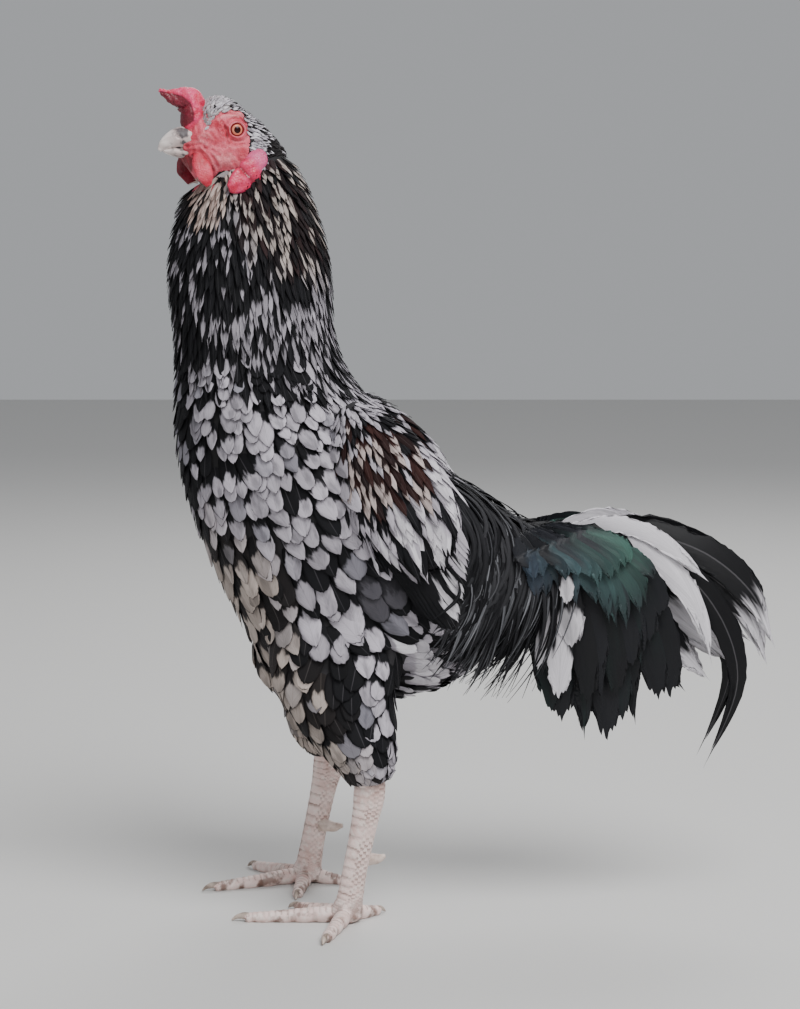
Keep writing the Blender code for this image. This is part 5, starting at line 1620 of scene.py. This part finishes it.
# %% Both legs with their claws and spurs
for side, sign in SIDES.items():
    parts, headings, pad = leg_rows(side)
    leg = one_skin("leg_" + side, [loft(limb(rows), 24, 24) for rows in parts.values()], 0.00075, 8)
    bm = bmesh.new()
    bm.from_mesh(leg.data)
    xyz, out = points_and_normals(bm)
    best, relief = np.full(len(xyz), 9.0), np.zeros(len(xyz))
    around = np.linspace(-math.pi, math.pi, 64)
    for name, rows in parts.items():
        surface = limb(rows)
        t, a, off = unwrap(surface, xyz, 200, 64)
        top_angle = around[surface(np.full(64, 0.5), around)[:, 2].argmax()]
        mine = off < best
        relief[mine] = scale_relief(name, xyz, t, a, np.array(rows)[:, :3], top_angle)[mine]
        best = np.minimum(best, off)
    moved = xyz + out * (relief - 0.0003)[:, None]
    moved[:, 2] = np.maximum(moved[:, 2], 0.0)
    move_points(bm, moved)
    bm.to_mesh(leg.data)
    bm.free()
    set_attribute(leg.data, "groove", relief / 0.0006)
    leg.data.materials.append(leg_finish.material)
    leg.data.shade_smooth()
    finish_piece(leg, "leg_scale", *(f"{n}_{side}" for n in ("shank", "foot", *("toe_" + toe for toe in TOES))))
    for toe, length, claw_length, ahead in zip(TOES, TOE_LENGTHS, CLAW_LENGTHS, headings):
        tip = pad + ahead * length
        claw = [
            (*(tip - ahead * 0.002)[:2], 0.0040, 0.0030, 0.0026),
            (*(tip + ahead * claw_length * 0.3)[:2], 0.0050, 0.0029, 0.0023),
            (*(tip + ahead * claw_length * 0.7)[:2], 0.0040, 0.0019, 0.0015),
            (*(tip + ahead * claw_length)[:2], 0.0012, 0.0006, 0.0005),
        ]
        name, node, relief = f"nail_{toe}_{side}", f"claw_{toe}_{side}", ripples(8, 900, 0.00006)
        shaped(name, claw, 24, 20, relief, claw_finish, "horn", node, turn=False)
    (hx, hz), (ax, az) = LEGS[side]["hock"], LEGS[side]["ankle"]
    x = ax + (hx - ax) * (0.052 - az) / (hz - az)
    y = sign * STANCE
    spur = [
        (x + 0.004, y - sign * 0.003, 0.052, 0.0062, 0.0056),
        (x + 0.011, y - sign * 0.006, 0.0515, 0.0053, 0.0049),
        (x + 0.017, y - sign * 0.008, 0.0512, 0.0042, 0.0039),
        (x + 0.0235, y - sign * 0.010, 0.053, 0.0020, 0.0018),
    ]
    relief = ripples(9, 500, 0.0002)
    shaped(f"spur_horn_{side}", spur, 30, 28, relief, spur_finish, "horn", f"spur_{side}", turn=False)


# %% [markdown]
# The one skin needs two finishes. The bare face is red and folded. All the rest lies under feathers and is dark
# and dull like down, and darker still as a painted shade, so that a gap in the coat looks deep. Each face of
# the mesh takes one or the other by its place on the head. On the face, painted highlights on the raised folds
# and painted shade in the creases come from the same relief that raised them, and a painted shadow lies under
# the jaw.

# %% The skin's finish
# Down's own dark tone, darkened further as a painted shade for the gaps between feathers.
down_and_gap_shade_finish = f = Finish("down_skin", 0.9)
f.feed(f.mix(f.noise(f.place(), 60.0, 4.0).ease(0.4, 0.6), srgb(18, 17, 19), srgb(36, 34, 37)))
body.data.materials.clear()
for finish in (face_finish, down_and_gap_shade_finish):
    body.data.materials.append(finish.material)
body.data.shade_smooth()
centres = np.array([p.center for p in body.data.polygons])
level = unturned(centres)
is_bare = inside(level[:, 0], level[:, 2], BARE) | (level[:, 0] < -0.112)
is_bare &= (level[:, 2] > 0.600) & (level[:, 0] < -0.078)
body.data.polygons.foreach_set("material_index", np.where(is_bare, 0, 1))
level = unturned(np.array([v.co for v in body.data.vertices]))
# The face's relief lays painted highlights on folds and painted shade in creases; a painted shadow darkens the lower
# front under the jaw.
painted_shadow_under_jaw = step_up(-level[:, 0], 0.1262, 0.1300) * step_up(-level[:, 2], -0.634, -0.627)
set_attribute(body.data, "fold", face_relief(level) / 0.0015 - 1.3 * painted_shadow_under_jaw)
finish_piece(body, "plumage", "head", "neck", "torso", "rump", "thigh_left", "thigh_right")


# %% [markdown]
# The stage is plain: a pale floor and a pale world, one wide soft light from above and the side, a weak one to
# fill the shadows, and one behind that parts the dark bird from the ground.

# %% Floor, light and camera
floor_mesh = bmesh.new()
bmesh.ops.create_grid(floor_mesh, x_segments=1, y_segments=1, size=6)
floor_finish = Finish("pale_floor", 0.8, Base_Color=colour(srgb(205, 204, 202)))
floor = object_from("floor", mesh_of(floor_mesh, "floor"), floor_finish)
floor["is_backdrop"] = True


def area_light(name, place, aim, size, power):
    data = bpy.data.lights.new(name, "AREA")
    data.shape, data.size, data.energy = "DISK", size, power
    light = linked_object(name, data)
    light.location = place
    light.rotation_euler = (Vector(aim) - Vector(place)).to_track_quat("-Z", "Y").to_euler()


area_light("sky_light", (0.9, -1.5, 2.6), (0, 0, 0.3), 2.0, 105)
area_light("fill_light", (-1.6, -2.4, 1.0), (0, 0, 0.3), 1.8, 9)
area_light("back_light", (0.4, 2.0, 2.2), (0, 0, 0.4), 1.6, 34)
world = bpy.data.worlds.new("pale_world")
world.use_nodes = True
world.node_tree.nodes["Background"].inputs["Color"].default_value = (0.80, 0.82, 0.85, 1.0)
world.node_tree.nodes["Background"].inputs["Strength"].default_value = 0.48
bpy.context.scene.world = world

SENSOR = 36.0
camera_data = bpy.data.cameras.new("camera")
camera_data.sensor_width = SENSOR
camera_data.lens = FOCAL_PX * SENSOR / PICTURE[1]
camera = linked_object("camera", camera_data)
camera.location = Vector(CAMERA_AT + SHIFT)
camera.rotation_euler = (math.pi / 2 - CAMERA_PITCH, 0.0, 0.0)
bpy.context.scene.camera = camera


# %% [markdown]
# Last, the boxes of the measured solids and of everything modelled here are written side by side, so that the
# two can be compared.

# %% Sizes and end
boxes = {"cad": cad_box, "visual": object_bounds()}
boxes = {name: [[float(v) for v in corner] for corner in box] for name, box in boxes.items()}
print(boxes)
